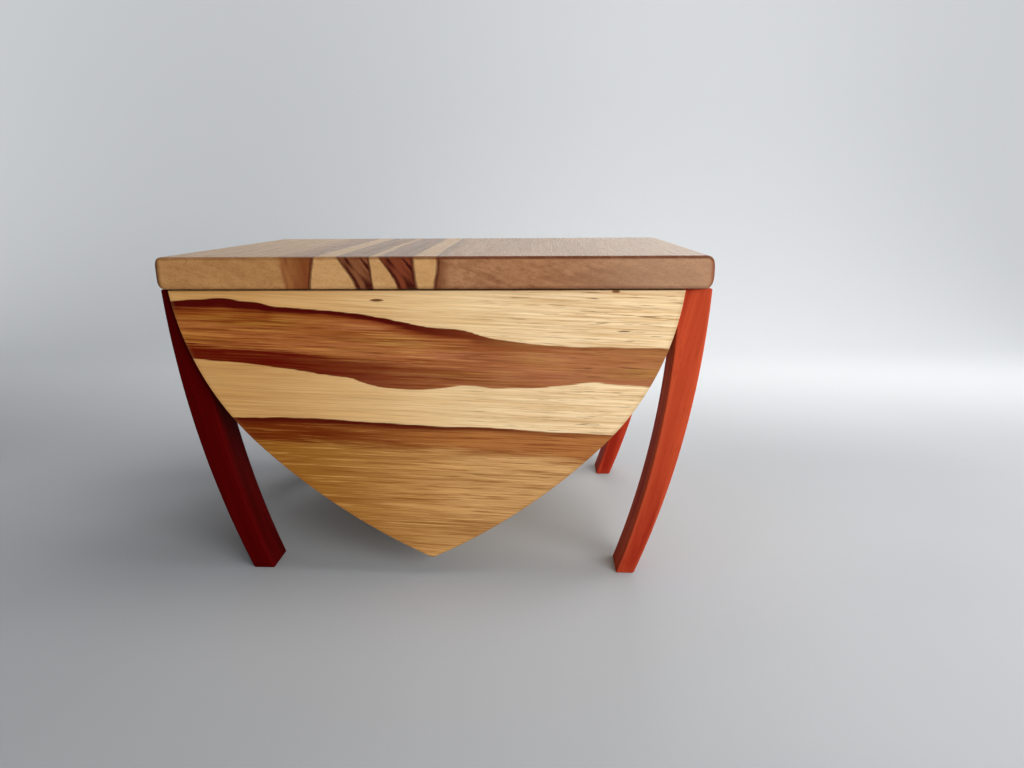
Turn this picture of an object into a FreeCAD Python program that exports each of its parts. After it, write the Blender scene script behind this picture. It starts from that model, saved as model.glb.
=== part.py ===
import FreeCAD, Part
import math
import os

# A footed keepsake box: a boat-shaped plywood body on four curved legs, under a thick hinged lid.
# Lengths are in millimetres, angles in degrees. X runs along the lid, -Y is the front, Z is up,
# and the origin is on the floor below the middle of the lid.

# Lid
lid_width = 302.0
lid_depth = 190.0
lid_thickness = 17.4
lid_end_round = 5.5
lid_corner_round = 4.5
lid_edge_ease = 1.0
lid_gap = 0.8
left_board_width = 84.5
centre_board_width = 67.0

# Outline of the front and back panels: two tangent arcs on each side, meeting in a point
panel_end_inset = 11.0
panel_thickness = 5.0
panel_setback = 0.5
front_panel_shift = -4.3
shoulder_radius = 150.0
belly_radius = 340.0
rim_lean_angle = 6.5
bilge_angle = 44.0
tip_round = 4.0
tip_clearance = 11.0
panel_edge_bevel = 0.5

# Body inside the panels
side_reveal = 6.0
side_thickness = 3.0
former_thickness = 12.0
keel_height = 9.0

# Legs
leg_depth = 21.3
leg_top_width = 17.5
foot_width = 10.7
wide_foot_extra = 2.0
foot_inset = 35.8
leg_bow = 7.0
leg_edge_bevel = 0.7
leg_shoulder_height = 21.0
leg_tenon_height = 13.0
leg_tenon_thickness = 6.0
leg_tenon_reach = 12.0

# Rails between the front and rear legs
rail_height = 28.0
rail_inset = 9.0
rail_tenon_height = 18.0
rail_tenon_thickness = 5.0
rail_tenon_length = 10.0

# Hinges
hinge_leg_gap = 9.5
hinge_length = 38.0
hinge_leaf_margin = 0.5
leaf_thickness = 1.2
leaf_gap = 0.1
knuckle_radius = 2.0
knuckle_count = 3
knuckle_gap = 0.2
pin_radius = 1.0
pin_clearance = 0.05
pocket_clearance = 0.4
stop_bevel = 3.0
hinge_screw_shank_radius = 1.1
hinge_screw_head_radius = 2.0
hinge_screw_head_height = 0.9
hinge_screw_length = 9.0
hinge_screw_spacing = 22.0

# Fits
glue_clearance = 0.05
cut_overrun = 5.0

X_AXIS = FreeCAD.Vector(1, 0, 0)
Y_AXIS = FreeCAD.Vector(0, 1, 0)
Z_AXIS = FreeCAD.Vector(0, 0, 1)
SIDES = {"left": -1, "right": 1}
ENDS = {"front": -1, "rear": 1}


def point(x, y, z):
    return FreeCAD.Vector(x, y, z)


# The outline's arcs run by the angle that their tangent leans from the vertical.
rim_lean = math.radians(rim_lean_angle)
bilge = math.radians(bilge_angle)
panel_half_width = lid_width / 2 - panel_end_inset
shoulder_centre_x = panel_half_width - shoulder_radius * math.cos(rim_lean)
belly_centre_x = shoulder_centre_x + (shoulder_radius - belly_radius) * math.cos(bilge)
tip_lean = math.acos(-belly_centre_x / belly_radius)
shoulder_drop = shoulder_radius * (math.sin(bilge) - math.sin(rim_lean))
belly_drop = belly_radius * (math.sin(tip_lean) - math.sin(bilge))

# Heights and depths that follow
rim_height = tip_clearance + shoulder_drop + belly_drop
lid_bottom = rim_height + lid_gap
panel_face_y = lid_depth / 2 - panel_setback
panel_back_y = panel_face_y - panel_thickness
former_back_y = panel_back_y - former_thickness
leg_back_y = panel_back_y - leg_depth
shoulder_centre_z = rim_height + shoulder_radius * math.sin(rim_lean)
belly_centre_z = shoulder_centre_z - (shoulder_radius - belly_radius) * math.sin(bilge)
leg_top_outer_x = lid_width / 2
leg_top_inner_x = leg_top_outer_x - leg_top_width
foot_outer_x = leg_top_outer_x - foot_inset
rail_outer_x = leg_top_outer_x - rail_inset
hinge_axis_y = lid_depth / 2 - stop_bevel
hinge_axis_z = rim_height + lid_gap / 2
hinge_leaf_depth = hinge_axis_y - former_back_y - hinge_leaf_margin
knuckle_length = hinge_length / knuckle_count
leg_tenon_end_x = leg_top_inner_x - side_thickness - leg_tenon_reach
hinge_centre_x = leg_tenon_end_x - hinge_leg_gap - hinge_length / 2


def arc_point(centre_x, centre_z, radius, lean):
    return point(centre_x + radius * math.cos(lean), 0, centre_z - radius * math.sin(lean))


def hull_half(inset):
    """Edges of the right half of the outline, moved in by inset, from the rim down to the middle."""
    shoulder = shoulder_radius - inset
    belly = belly_radius - inset
    start = math.asin((shoulder_centre_z - rim_height) / shoulder)
    stop = math.acos(-belly_centre_x / belly)
    shoulder_leans = (start, (start + bilge) / 2, bilge)
    belly_leans = (bilge, (bilge + stop) / 2, stop)
    upper = [arc_point(shoulder_centre_x, shoulder_centre_z, shoulder, lean) for lean in shoulder_leans]
    lower = [arc_point(belly_centre_x, belly_centre_z, belly, lean) for lean in belly_leans]
    lower[0] = upper[-1]
    return [Part.Arc(*upper).toShape(), Part.Arc(*lower).toShape()], upper[0], lower[-1]


def extruded(edges, y_from, y_to):
    """A solid from a closed outline in the XZ plane, carried from y_from to y_to."""
    face = Part.Face(Part.Wire(Part.__sortEdges__(edges)))
    solid = face.extrude(point(0, y_to - y_from, 0))
    solid.translate(point(0, y_from, 0))
    return solid


def mirrored(shape):
    return shape.mirror(point(0, 0, 0), X_AXIS)


def hull(inset, y_from, y_to):
    """The whole boat shape inside the outline moved in by inset."""
    edges, rim, keel_point = hull_half(inset)
    closing = [
        Part.makeLine(keel_point, point(0, 0, rim_height)),
        Part.makeLine(point(0, 0, rim_height), rim),
    ]
    half = extruded(edges + closing, y_from, y_to)
    return half.fuse(mirrored(half)).removeSplitter()


def block(x_range, y_range, z_range):
    low = point(x_range[0], y_range[0], z_range[0])
    size = point(x_range[1], y_range[1], z_range[1]) - low
    return Part.makeBox(size.x, size.y, size.z, low)


def rod(start, direction, radius, length):
    return Part.makeCylinder(radius, length, start, direction)


def prism(yz_points, x_from, x_to):
    """A straight bar along X with the given section in the YZ plane."""
    corners = [point(x_from, y, z) for y, z in yz_points]
    face = Part.Face(Part.makePolygon(corners + corners[:1]))
    return face.extrude(point(x_to - x_from, 0, 0))


def screw(seat, direction, shank_radius, head_radius, head_height, length, clearance=0.0):
    """A countersunk screw whose flat head lies at seat and whose shank runs along direction."""
    head = Part.makeCone(head_radius + clearance, shank_radius + clearance, head_height, seat, direction)
    shank = rod(seat, direction, shank_radius + clearance, length + clearance)
    return head.fuse(shank).removeSplitter()


# Hinge places and their screws
def hinge_centres():
    return {side: sign * hinge_centre_x for side, sign in SIDES.items()}


def hinge_screws(face, clearance=0.0):
    """The screws of both leaves on one face: +1 goes up into the lid, -1 goes down into the body."""
    seat_y = hinge_axis_y - (knuckle_radius + hinge_leaf_depth) / 2
    seat_z = hinge_axis_z + face * leaf_gap / 2
    return [
        screw(point(centre + side * hinge_screw_spacing / 2, seat_y, seat_z), Z_AXIS * face,
              hinge_screw_shank_radius, hinge_screw_head_radius, hinge_screw_head_height,
              hinge_screw_length, clearance)
        for centre in hinge_centres().values() for side in SIDES.values()
    ]


def leaf_plate(centre, face, rear_y, fit=0.0):
    """The flat of one leaf as far back as rear_y, grown by fit to give its recess."""
    z_inner = hinge_axis_z + face * leaf_gap / 2
    z_outer = z_inner + face * (leaf_thickness + fit)
    half = hinge_length / 2 + fit
    front_y = hinge_axis_y - hinge_leaf_depth - fit
    return block((centre - half, centre + half), (front_y, rear_y), sorted((z_inner, z_outer)))


def hinge_recess(centre, face):
    """What a hinge takes out of the wood on one side of the seam."""
    half = hinge_length / 2 + pocket_clearance
    start = point(centre - half, hinge_axis_y, hinge_axis_z)
    barrel = rod(start, X_AXIS, knuckle_radius + pocket_clearance, half * 2)
    return barrel.fuse(leaf_plate(centre, face, hinge_axis_y, glue_clearance))


def knuckle_spans(centre, face):
    """X ranges of one leaf's knuckles: the box has the outer ones and the lid those between."""
    first = centre - hinge_length / 2
    wanted = 0 if face < 0 else 1
    return [
        (first + i * knuckle_length + knuckle_gap / 2, first + (i + 1) * knuckle_length - knuckle_gap / 2)
        for i in range(knuckle_count) if i % 2 == wanted
    ]


def hinge_leaf(centre, face):
    y_plate = hinge_axis_y - knuckle_radius - knuckle_gap
    leaf = leaf_plate(centre, face, y_plate)
    z_inner = hinge_axis_z + face * leaf_gap / 2
    z_range = sorted((z_inner, z_inner + face * leaf_thickness))
    for x_from, x_to in knuckle_spans(centre, face):
        start = point(x_from, hinge_axis_y, hinge_axis_z)
        web = block((x_from, x_to), (y_plate, hinge_axis_y), z_range)
        leaf = leaf.fuse(web).fuse(rod(start, X_AXIS, knuckle_radius, x_to - x_from))
    bore_start = point(centre - hinge_length / 2, hinge_axis_y, hinge_axis_z)
    leaf = leaf.cut(rod(bore_start, X_AXIS, pin_radius + pin_clearance, hinge_length))
    for fixing in hinge_screws(face, glue_clearance):
        leaf = leaf.cut(fixing)
    return leaf.removeSplitter()


def hinge_pin(centre):
    half = (hinge_length - knuckle_gap) / 2
    return rod(point(centre - half, hinge_axis_y, hinge_axis_z), X_AXIS, pin_radius, half * 2)


def without_hinges(shape, face):
    """The wood with both hinges' recesses and screw holes taken out of it."""
    for centre in hinge_centres().values():
        shape = shape.cut(hinge_recess(centre, face))
    for fixing in hinge_screws(face, glue_clearance):
        shape = shape.cut(fixing)
    return shape


def stop_bevel_cut(face):
    """The bevel along the rear of the seam, which stops the lid a little past upright."""
    seam = lid_bottom if face > 0 else rim_height
    reach = stop_bevel + cut_overrun
    section = [
        (hinge_axis_y, seam),
        (hinge_axis_y + reach, seam + face * reach),
        (hinge_axis_y + reach, seam),
    ]
    return prism(section, -lid_width, lid_width)


# Body
def panel(shift, end):
    """A pointed panel at the front (-1) or the rear (+1), with its point rounded off."""
    y_from, y_to = sorted((end * panel_face_y, end * panel_back_y))
    shape = hull(0, y_from, y_to)
    tip_edges = [edge for edge in shape.Edges if edge.BoundBox.ZMax < tip_clearance + tip_round / 2
                 and edge.BoundBox.XLength < tip_round / 2]
    shape = shape.makeFillet(tip_round, tip_edges)
    shape = shape.makeChamfer(panel_edge_bevel, face_outline(shape, end * panel_face_y))
    shape.translate(point(shift, 0, 0))
    return shape


def face_outline(shape, y):
    """The curved edges of the face that lies at depth y, which leaves out the straight rim."""
    flat = [edge for edge in shape.Edges if edge.BoundBox.YLength < panel_edge_bevel]
    return [edge for edge in flat if abs(edge.CenterOfMass.y - y) < panel_edge_bevel
            and edge.BoundBox.ZMin < rim_height - panel_edge_bevel]


def back_panel():
    return without_hinges(panel(0, ENDS["rear"]).cut(stop_bevel_cut(-1)), -1)


def former(end):
    y_from, y_to = sorted((end * former_back_y, end * panel_back_y))
    shape = hull(side_reveal + side_thickness, y_from, y_to)
    return shape.cut(Part.makeCompound(leg_tenons(glue_clearance)))


def bent_side(side):
    """A thin side bent along the hull, from panel to panel, mitred to the other side at the bottom."""
    outer_edges, outer_rim, outer_keel = hull_half(side_reveal)
    inner_edges, inner_rim, inner_keel = hull_half(side_reveal + side_thickness)
    closing = [Part.makeLine(outer_rim, inner_rim), Part.makeLine(outer_keel, inner_keel)]
    shape = extruded(outer_edges + inner_edges + closing, -panel_back_y, panel_back_y)
    shape = shape if side > 0 else mirrored(shape)
    return shape.cut(Part.makeCompound(leg_tenons(glue_clearance)))


def keel():
    """The glue block that fills the bottom of the hull between the formers."""
    inside = hull(side_reveal + side_thickness, -former_back_y, former_back_y)
    floor = inside.BoundBox.ZMin
    half = panel_half_width
    return inside.common(block((-half, half), (-panel_face_y, panel_face_y), (floor, floor + keel_height)))


def bowed_edge(top, foot):
    """An arc from top to foot that bows outwards from its chord by the leg's bow."""
    chord = foot - top
    outward = point(-chord.z, 0, chord.x).normalize()
    return Part.Arc(top, (top + foot) / 2 + outward * leg_bow, foot).toShape()


def leg(side, end):
    """A tapered, bowed leg whose top is pared to fit against the bent side; the front left foot is wider."""
    wide = side == SIDES["left"] and end == ENDS["front"]
    foot_inner_x = foot_outer_x - foot_width - (wide_foot_extra if wide else 0)
    outer_top = point(leg_top_outer_x, 0, rim_height)
    inner_top = point(leg_top_inner_x, 0, rim_height)
    outer_foot = point(foot_outer_x, 0, 0)
    inner_foot = point(foot_inner_x, 0, 0)
    edges = [
        bowed_edge(outer_top, outer_foot),
        Part.makeLine(outer_foot, inner_foot),
        bowed_edge(inner_top, inner_foot),
        Part.makeLine(inner_top, outer_top),
    ]
    y_range = sorted((end * panel_back_y, end * leg_back_y))
    shape = extruded(edges, *y_range)
    long_edges = [edge for edge in shape.Edges if edge.Length > rim_height]
    shape = shape.makeChamfer(leg_edge_bevel, long_edges)
    shoulder = block((leg_top_inner_x - leg_top_width, leg_top_inner_x + leg_top_width / 2), y_range,
                     (rim_height - leg_shoulder_height, rim_height))
    shape = shape.fuse(shoulder).removeSplitter()
    shape = shape.cut(hull(side_reveal, -lid_depth, lid_depth))
    shape = shape if side > 0 else mirrored(shape)
    mortises = leg_tenons(glue_clearance) + rail_tenons(glue_clearance)
    return shape.cut(Part.makeCompound(mortises))


def rail(side):
    """The rail between two legs, shaped on its inner face to the bent side and tenoned into the legs."""
    shape = block((0, rail_outer_x), (-leg_back_y, leg_back_y), (rim_height - rail_height, rim_height))
    shape = shape.cut(hull(side_reveal, -lid_depth, lid_depth))
    shape = shape if side > 0 else mirrored(shape)
    for tenon in rail_tenons():
        if tenon.CenterOfMass.x * side > 0:
            shape = shape.fuse(tenon)
    return shape.removeSplitter()


def rail_tenons(clearance=0.0):
    """The tongues on the ends of the rails, or with a clearance their mortises."""
    _, side_rim, _ = hull_half(side_reveal)
    x = (side_rim.x + rail_outer_x) / 2
    z = rim_height - rail_height / 2
    half_x = rail_tenon_thickness / 2 + clearance
    half_z = rail_tenon_height / 2 + clearance
    y_range = (leg_back_y, leg_back_y + rail_tenon_length + clearance)
    return [
        block((side * x - half_x, side * x + half_x), sorted(end * y for y in y_range), (z - half_z, z + half_z))
        for side in SIDES.values() for end in ENDS.values()
    ]


def leg_tenons(clearance=0.0):
    """A loose tenon from each leg through the bent side into the former, or with a clearance its mortise."""
    reach = leg_tenon_reach + clearance
    x_range = (leg_tenon_end_x - clearance, leg_top_inner_x + reach)
    y = panel_back_y - former_thickness / 2
    z = rim_height - leg_shoulder_height / 2
    half_y = leg_tenon_thickness / 2 + clearance
    half_z = leg_tenon_height / 2 + clearance
    return [
        block(sorted(side * x for x in x_range), (end * y - half_y, end * y + half_y), (z - half_z, z + half_z))
        for side in SIDES.values() for end in ENDS.values()
    ]


# Lid
def eased_block(x_range, y_range, z_range, axis, radius):
    """A block with its four edges along axis rounded."""
    shape = block(x_range, y_range, z_range)
    edges = [edge for edge in shape.Edges if round(abs(edge.tangentAt(edge.FirstParameter).dot(axis)))]
    return shape.makeFillet(radius, edges)


def lid_blank():
    """The whole lid: rounded ends, rounded upright corners and eased long edges."""
    ranges = (
        (-lid_width / 2, lid_width / 2),
        (-lid_depth / 2, lid_depth / 2),
        (lid_bottom, lid_bottom + lid_thickness),
    )
    shape = eased_block(*ranges, Y_AXIS, lid_end_round)
    shape = shape.common(eased_block(*ranges, Z_AXIS, lid_corner_round))
    shape = shape.common(eased_block(*ranges, X_AXIS, lid_edge_ease))
    return shape.cut(stop_bevel_cut(1))


def board_spans():
    """X ranges of the three boards that the lid is glued up from."""
    left_joint = -lid_width / 2 + left_board_width
    right_joint = left_joint + centre_board_width
    return {
        "left": (-lid_width / 2, left_joint),
        "centre": (left_joint, right_joint),
        "right": (right_joint, lid_width / 2),
    }


def lid_board(name):
    span = board_spans()[name]
    shape = lid_blank().common(block(span, (-lid_depth, lid_depth), (0, lid_bottom + lid_thickness)))
    return without_hinges(shape, 1)


def all_nodes():
    nodes = {
        "front_panel": panel(front_panel_shift, ENDS["front"]),
        "back_panel": back_panel(),
        "front_former": former(ENDS["front"]),
        "back_former": without_hinges(former(ENDS["rear"]), -1),
        "keel": keel(),
        "leg_tenons": Part.makeCompound(leg_tenons()),
        "hinge_body_screws": Part.makeCompound(hinge_screws(-1)),
        "hinge_lid_screws": Part.makeCompound(hinge_screws(1)),
    }
    for side_name, side in SIDES.items():
        nodes[side_name + "_side"] = bent_side(side)
        nodes[side_name + "_rail"] = rail(side)
        for end_name, end in ENDS.items():
            nodes["leg_" + end_name + "_" + side_name] = leg(side, end)
    for name in board_spans():
        nodes["lid_" + name + "_board"] = lid_board(name)
    for side_name, centre in hinge_centres().items():
        nodes["hinge_" + side_name + "_body_leaf"] = hinge_leaf(centre, -1)
        nodes["hinge_" + side_name + "_lid_leaf"] = hinge_leaf(centre, 1)
        nodes["hinge_" + side_name + "_pin"] = hinge_pin(centre)
    return nodes


os.makedirs("parts", exist_ok=True)
for node_name, node_shape in all_nodes().items():
    node_shape.exportStep("parts/" + node_name + ".step")
    print(node_name, len(node_shape.Solids), node_shape.isValid(), round(node_shape.Volume, 1))
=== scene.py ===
import logging
import math
from dataclasses import dataclass
from enum import Enum
from typing import Optional, Sequence, Union

import bmesh
import bpy
import numpy as np
from mathutils import Matrix, Vector


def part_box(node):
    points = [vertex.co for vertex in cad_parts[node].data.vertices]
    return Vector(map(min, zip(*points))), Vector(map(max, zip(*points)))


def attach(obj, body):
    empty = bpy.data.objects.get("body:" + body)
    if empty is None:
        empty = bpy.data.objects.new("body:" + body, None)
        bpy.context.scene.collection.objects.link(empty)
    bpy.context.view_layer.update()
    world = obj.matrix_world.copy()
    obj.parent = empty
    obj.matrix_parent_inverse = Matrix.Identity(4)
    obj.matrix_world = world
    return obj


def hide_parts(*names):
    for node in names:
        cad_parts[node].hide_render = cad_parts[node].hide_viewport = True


# A footed keepsake box: a boat-shaped plywood body on four bowed red legs, under a thick hinged lid.
# X runs along the lid, -Y is the front, Z is up, in metres, with the floor at zero.
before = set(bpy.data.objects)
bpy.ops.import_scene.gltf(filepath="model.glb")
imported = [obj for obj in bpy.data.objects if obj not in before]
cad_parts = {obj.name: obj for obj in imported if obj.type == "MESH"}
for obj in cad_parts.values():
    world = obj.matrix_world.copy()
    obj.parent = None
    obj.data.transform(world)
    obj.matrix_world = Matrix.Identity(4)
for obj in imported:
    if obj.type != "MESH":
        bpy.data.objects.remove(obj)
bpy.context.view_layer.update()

logging.basicConfig(level=logging.INFO, format="%(message)s")
log = logging.getLogger("keepsake_box")

Points = tuple[tuple[float, float], ...]
Pair = tuple[float, float]
Triple = tuple[float, float, float]
Colour = tuple[int, int, int]
Socket = bpy.types.NodeSocket
Feed = Union[Socket, float, Sequence[float]]

MM = 0.001
STILL: Triple = (0.0, 0.0, 0.0)
SHARP_TURN = math.radians(35.0)
MERGE_GAP = 1e-6
THIN_EDGE = 1e-7
# Places that several pieces share: outer faces of the panels and formers, the legs' inner faces, the sides'
# distance inside the hull line, the lid's front, end and top, and the hinge axis.
PANEL_FACE = 94.5 * MM
FORMER_FACE = 89.5 * MM
LEG_BACK = 68.2 * MM
SIDE_INSET = 6.0 * MM
LID_FRONT = -95.0 * MM
LID_END = 151.0 * MM
LID_TOP = 187.429 * MM
AXIS_Y = 92.0 * MM
AXIS_Z = 169.629 * MM


class Side(Enum):
    """Left or right of the box, as the sign of X."""

    LEFT = -1
    RIGHT = 1


class End(Enum):
    """Front or rear of the box, as the sign of Y."""

    FRONT = -1
    REAR = 1


class Grain(Enum):
    """The axis that a piece's fibres run along."""

    ALONG_X = 0
    ALONG_Y = 1
    ALONG_Z = 2

    def scale(self, along: float, across: float) -> Triple:
        """Features per metre on each axis, for fibres that are long one way and thin the others."""
        return tuple(along if axis == self.value else across for axis in range(3))


class Facing(Enum):
    """The way that screw heads face, as the sign of Z."""

    DOWN = -1
    UP = 1


class Blend(Enum):
    """How one colour is laid over another, by Blender's name."""

    MIX = "MIX"
    DARKEN = "DARKEN"
    MULTIPLY = "MULTIPLY"


class Ease(Enum):
    """The way from one value to another, by Blender's name."""

    STRAIGHT = "LINEAR"
    SMOOTH = "SMOOTHSTEP"


class PatchWood(Enum):
    """What a patch on the lid's front edge is made of."""

    SAPWOOD = "pale sapwood"
    PALE_HEART = "streaked brown heart"
    DARK_HEART = "streaked dark heart"
    BROWN = "dark border of the right board"


def linear(colour: Colour) -> tuple[float, float, float, float]:
    """A screen colour as scene-linear light, by the sRGB curve.

    Args:
        colour: red, green and blue from 0 to 255.

    Returns:
        Linear red, green, blue and an opaque alpha.
    """
    share = np.array(colour, float) / 255.0
    light = np.where(share <= 0.04045, share / 12.92, ((share + 0.055) / 1.055) ** 2.4)
    return (*light.tolist(), 1.0)


class NodeSheet:
    """One material's nodes, laid out by calls that hand back their output sockets."""

    def __init__(self, name: str) -> None:
        """Starts an empty material.

        Args:
            name: the material's name.
        """
        self.material = bpy.data.materials.new(name)
        self.material.use_nodes = True
        self.tree = self.material.node_tree
        self.tree.nodes.clear()
        self.place = self.node("ShaderNodeTexCoord", {}).outputs["Object"]
        split = self.node("ShaderNodeSeparateXYZ", {0: self.place})
        self.x, self.y, self.z = split.outputs

    def node(self, kind: str, feeds: dict, **settings) -> bpy.types.Node:
        """Adds a node.

        Args:
            kind: Blender's name for the node.
            feeds: sockets or constants, by input name or number.
            settings: the node's own settings.

        Returns:
            The node.
        """
        made = self.tree.nodes.new(kind)
        for key, value in settings.items():
            setattr(made, key, value)
        for key, value in feeds.items():
            if isinstance(value, Socket):
                self.tree.links.new(value, made.inputs[key])
            else:
                made.inputs[key].default_value = value
        return made

    def math(self, operation: str, first: Feed, second: Feed = 0.0) -> Socket:
        """The result of one sum on two values."""
        return self.node("ShaderNodeMath", {0: first, 1: second}, operation=operation).outputs[0]

    def times(self, first: Feed, second: Feed) -> Socket:
        """The product of two values."""
        return self.math("MULTIPLY", first, second)

    def plus(self, first: Feed, second: Feed) -> Socket:
        """The sum of two values."""
        return self.math("ADD", first, second)

    def minus(self, first: Feed, second: Feed) -> Socket:
        """The first value less the second."""
        return self.math("SUBTRACT", first, second)

    def ranged(self, value: Feed, low: Feed, high: Feed, bottom: float = 0.0, top: float = 1.0,
               ease: Ease = Ease.STRAIGHT) -> Socket:
        """A change from bottom to top while a value goes from low to high.

        Args:
            value: the value that it follows.
            low: where the change starts.
            high: where it ends.
            bottom: the result at low and before it.
            top: the result at high and past it.
            ease: the way between them.

        Returns:
            The result.
        """
        feeds = {0: value, 1: low, 2: high, 3: bottom, 4: top}
        return self.node("ShaderNodeMapRange", feeds, interpolation_type=ease.value).outputs[0]

    def step(self, value: Feed, low: Feed, high: Feed, bottom: float = 0.0, top: float = 1.0) -> Socket:
        """A smooth change from bottom to top while a value goes from low to high."""
        return self.ranged(value, low, high, bottom, top, Ease.SMOOTH)

    def rough(self, noise: Socket, bounds: Pair) -> Socket:
        """A roughness that follows a noise from one bound to the other."""
        return self.ranged(noise, 0.3, 0.7, *bounds)

    def mix(self, share: Feed, base: Feed, over: Feed, blend: Blend = Blend.MIX) -> Socket:
        """Two colours mixed; one that is given as three numbers is a screen colour.

        Args:
            share: how much of the second colour shows.
            base: the first colour.
            over: the second colour.
            blend: how the second is laid over the first.

        Returns:
            The mixed colour.
        """
        base, over = (linear(c) if isinstance(c, tuple) and len(c) == 3 else c for c in (base, over))
        feeds = {0: share, 6: base, 7: over}
        return self.node("ShaderNodeMix", feeds, data_type="RGBA", blend_type=blend.value).outputs[2]

    def coats(self, colour: Feed, *layers: tuple[Feed, Feed, Feed]) -> Socket:
        """A colour with layers laid over it in turn.

        Args:
            colour: the colour below.
            layers: for each, a mask from 0 to 1, the most that shows of it, and its colour.

        Returns:
            The colour on top.
        """
        for mask, most, paint in layers:
            colour = self.mix(self.times(mask, most), colour, paint)
        return colour

    def stretched(self, scale: Triple, turn: Triple, shift: Triple) -> Socket:
        """The place on the piece, turned and shifted, then scaled per axis to set a pattern's size."""
        turned = self.node("ShaderNodeMapping", {0: self.place, 1: shift, 2: turn}).outputs[0]
        return self.node("ShaderNodeMapping", {0: turned, 3: scale}).outputs[0]

    def noise(self, vector: Socket, detail: float = 2.0, roughness: float = 0.5,
              distortion: float = 0.0) -> Socket:
        """Cloudy noise with features about one unit of the vector long.

        Args:
            vector: where it is read.
            detail: how many finer noises are added.
            roughness: how strong those are.
            distortion: how far it is bent.

        Returns:
            A value from 0 to 1.
        """
        feeds = {"Vector": vector, "Scale": 1.0}
        feeds.update({"Detail": detail, "Roughness": roughness, "Distortion": distortion})
        return self.node("ShaderNodeTexNoise", feeds).outputs[0]

    def vector(self, x: Feed, y: Feed, z: Feed) -> Socket:
        """Three values as one place."""
        return self.node("ShaderNodeCombineXYZ", {0: x, 1: y, 2: z}).outputs[0]

    def swing(self, noise: Socket, reach: float) -> Socket:
        """Noise made to swing about zero, by about half of reach either way."""
        return self.times(self.minus(noise, 0.5), reach)

    def size(self, value: Feed) -> Socket:
        """A value without its sign."""
        return self.math("ABSOLUTE", value)

    def plies(self, face_y: float, depth: float) -> tuple[Socket, Socket]:
        """Plies that lie parallel to a face across Y.

        Args:
            face_y: where the face is.
            depth: the thickness of one ply.

        Returns:
            The distance in from the face, and the share of every second ply.
        """
        inward = self.size(self.minus(self.y, face_y))
        layer = self.math("FRACT", self.math("DIVIDE", inward, 2 * depth))
        return inward, self.step(layer, 0.47, 0.53)

    def curve(self, value: Socket, points: Points) -> Socket:
        """A smooth curve through points whose coordinates run from 0 to 1.

        Args:
            value: the place along the curve.
            points: the points, from first to last.

        Returns:
            The curve's height at that place.
        """
        made = self.node("ShaderNodeFloatCurve", {1: value})
        line = made.mapping.curves[0]
        line.points[0].location = points[0]
        line.points[1].location = points[-1]
        for place in points[1:-1]:
            line.points.new(*place)
        made.mapping.update()
        return made.outputs[0]

    def attribute(self, name: str) -> Socket:
        """A number that the piece's mesh carries, or zero where it carries none."""
        return self.node("ShaderNodeAttribute", {}, attribute_name=name).outputs["Fac"]

    def surface(self, colour: Feed, roughness: Feed, height: Optional[Socket] = None, depth: float = 0.0,
                **constants: Feed) -> bpy.types.Material:
        """Ends the sheet with its shader.

        Args:
            colour: base colour.
            roughness: roughness.
            height: relief from 0 to 1.
            depth: how deep that relief is, in metres.
            constants: further shader sockets by name, with underscores for spaces.

        Returns:
            The finished material.
        """
        feeds = {"Base Color": colour, "Roughness": roughness}
        feeds.update({name.replace("_", " "): value for name, value in constants.items()})
        if height is not None:
            relief = self.node("ShaderNodeBump", {"Strength": 1.0, "Distance": depth, "Height": height})
            feeds["Normal"] = relief.outputs[0]
        shader = self.node("ShaderNodeBsdfPrincipled", feeds)
        self.node("ShaderNodeOutputMaterial", {0: shader.outputs[0]})
        return self.material


@dataclass(frozen=True)
class Pattern:
    """Cloudy noise stretched along the fibres.

    The scale is in features per metre on each axis. The cut is where a streak starts and where it is full.
    """

    scale: Triple
    detail: float = 2.0
    roughness: float = 0.5
    distortion: float = 0.0
    shift: Triple = STILL
    cut: Pair = (0.4, 0.7)

    def field(self, sheet: NodeSheet, turn: Triple = STILL, shift: Triple = STILL) -> Socket:
        """The noise at each place on a piece.

        Args:
            sheet: the material's nodes.
            turn: how the fibres lean about each axis, in radians.
            shift: a further shift, by which pieces of one wood differ.

        Returns:
            A value from 0 to 1.
        """
        moved = tuple(own + extra for own, extra in zip(self.shift, shift))
        place = sheet.stretched(self.scale, turn, moved)
        return sheet.noise(place, self.detail, self.roughness, self.distortion)

    def share(self, sheet: NodeSheet, turn: Triple = STILL, shift: Triple = STILL) -> Socket:
        """The share of a streak at each place, for the same arguments as field."""
        return sheet.step(self.field(sheet, turn, shift), *self.cut)


@dataclass(frozen=True)
class FigureLine:
    """A value that changes along a face, given at a few places in millimetres."""

    points: Points
    reach: Pair = (-150.0, 150.0)
    span: Pair = (0.0, 200.0)

    def at(self, sheet: NodeSheet, along: Socket) -> Socket:
        """The value in metres at a place.

        Args:
            sheet: the material's nodes.
            along: the place along the line, in metres.

        Returns:
            The value there.
        """
        (start, stop), (low, high) = self.reach, self.span
        shares = tuple(((a - start) / (stop - start), (b - low) / (high - low)) for a, b in self.points)
        level = sheet.curve(sheet.ranged(along, start * MM, stop * MM), shares)
        return sheet.ranged(level, 0.0, 1.0, low * MM, high * MM)


def cross_line(*points: Pair) -> FigureLine:
    """A line through the lid's thickness, given by height and X."""
    return FigureLine(points, reach=(165.0, 190.0), span=(-100.0, 50.0))


@dataclass(frozen=True)
class VeneerFibres:
    """A veneer's noises, and the streaks cut from them, as node outputs from 0 to 1."""

    fine: Socket
    thin: Socket
    fleck: Socket
    hue: Socket
    thin_streak: Socket
    streaks: Socket
    dark: Socket
    light: Socket


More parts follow.
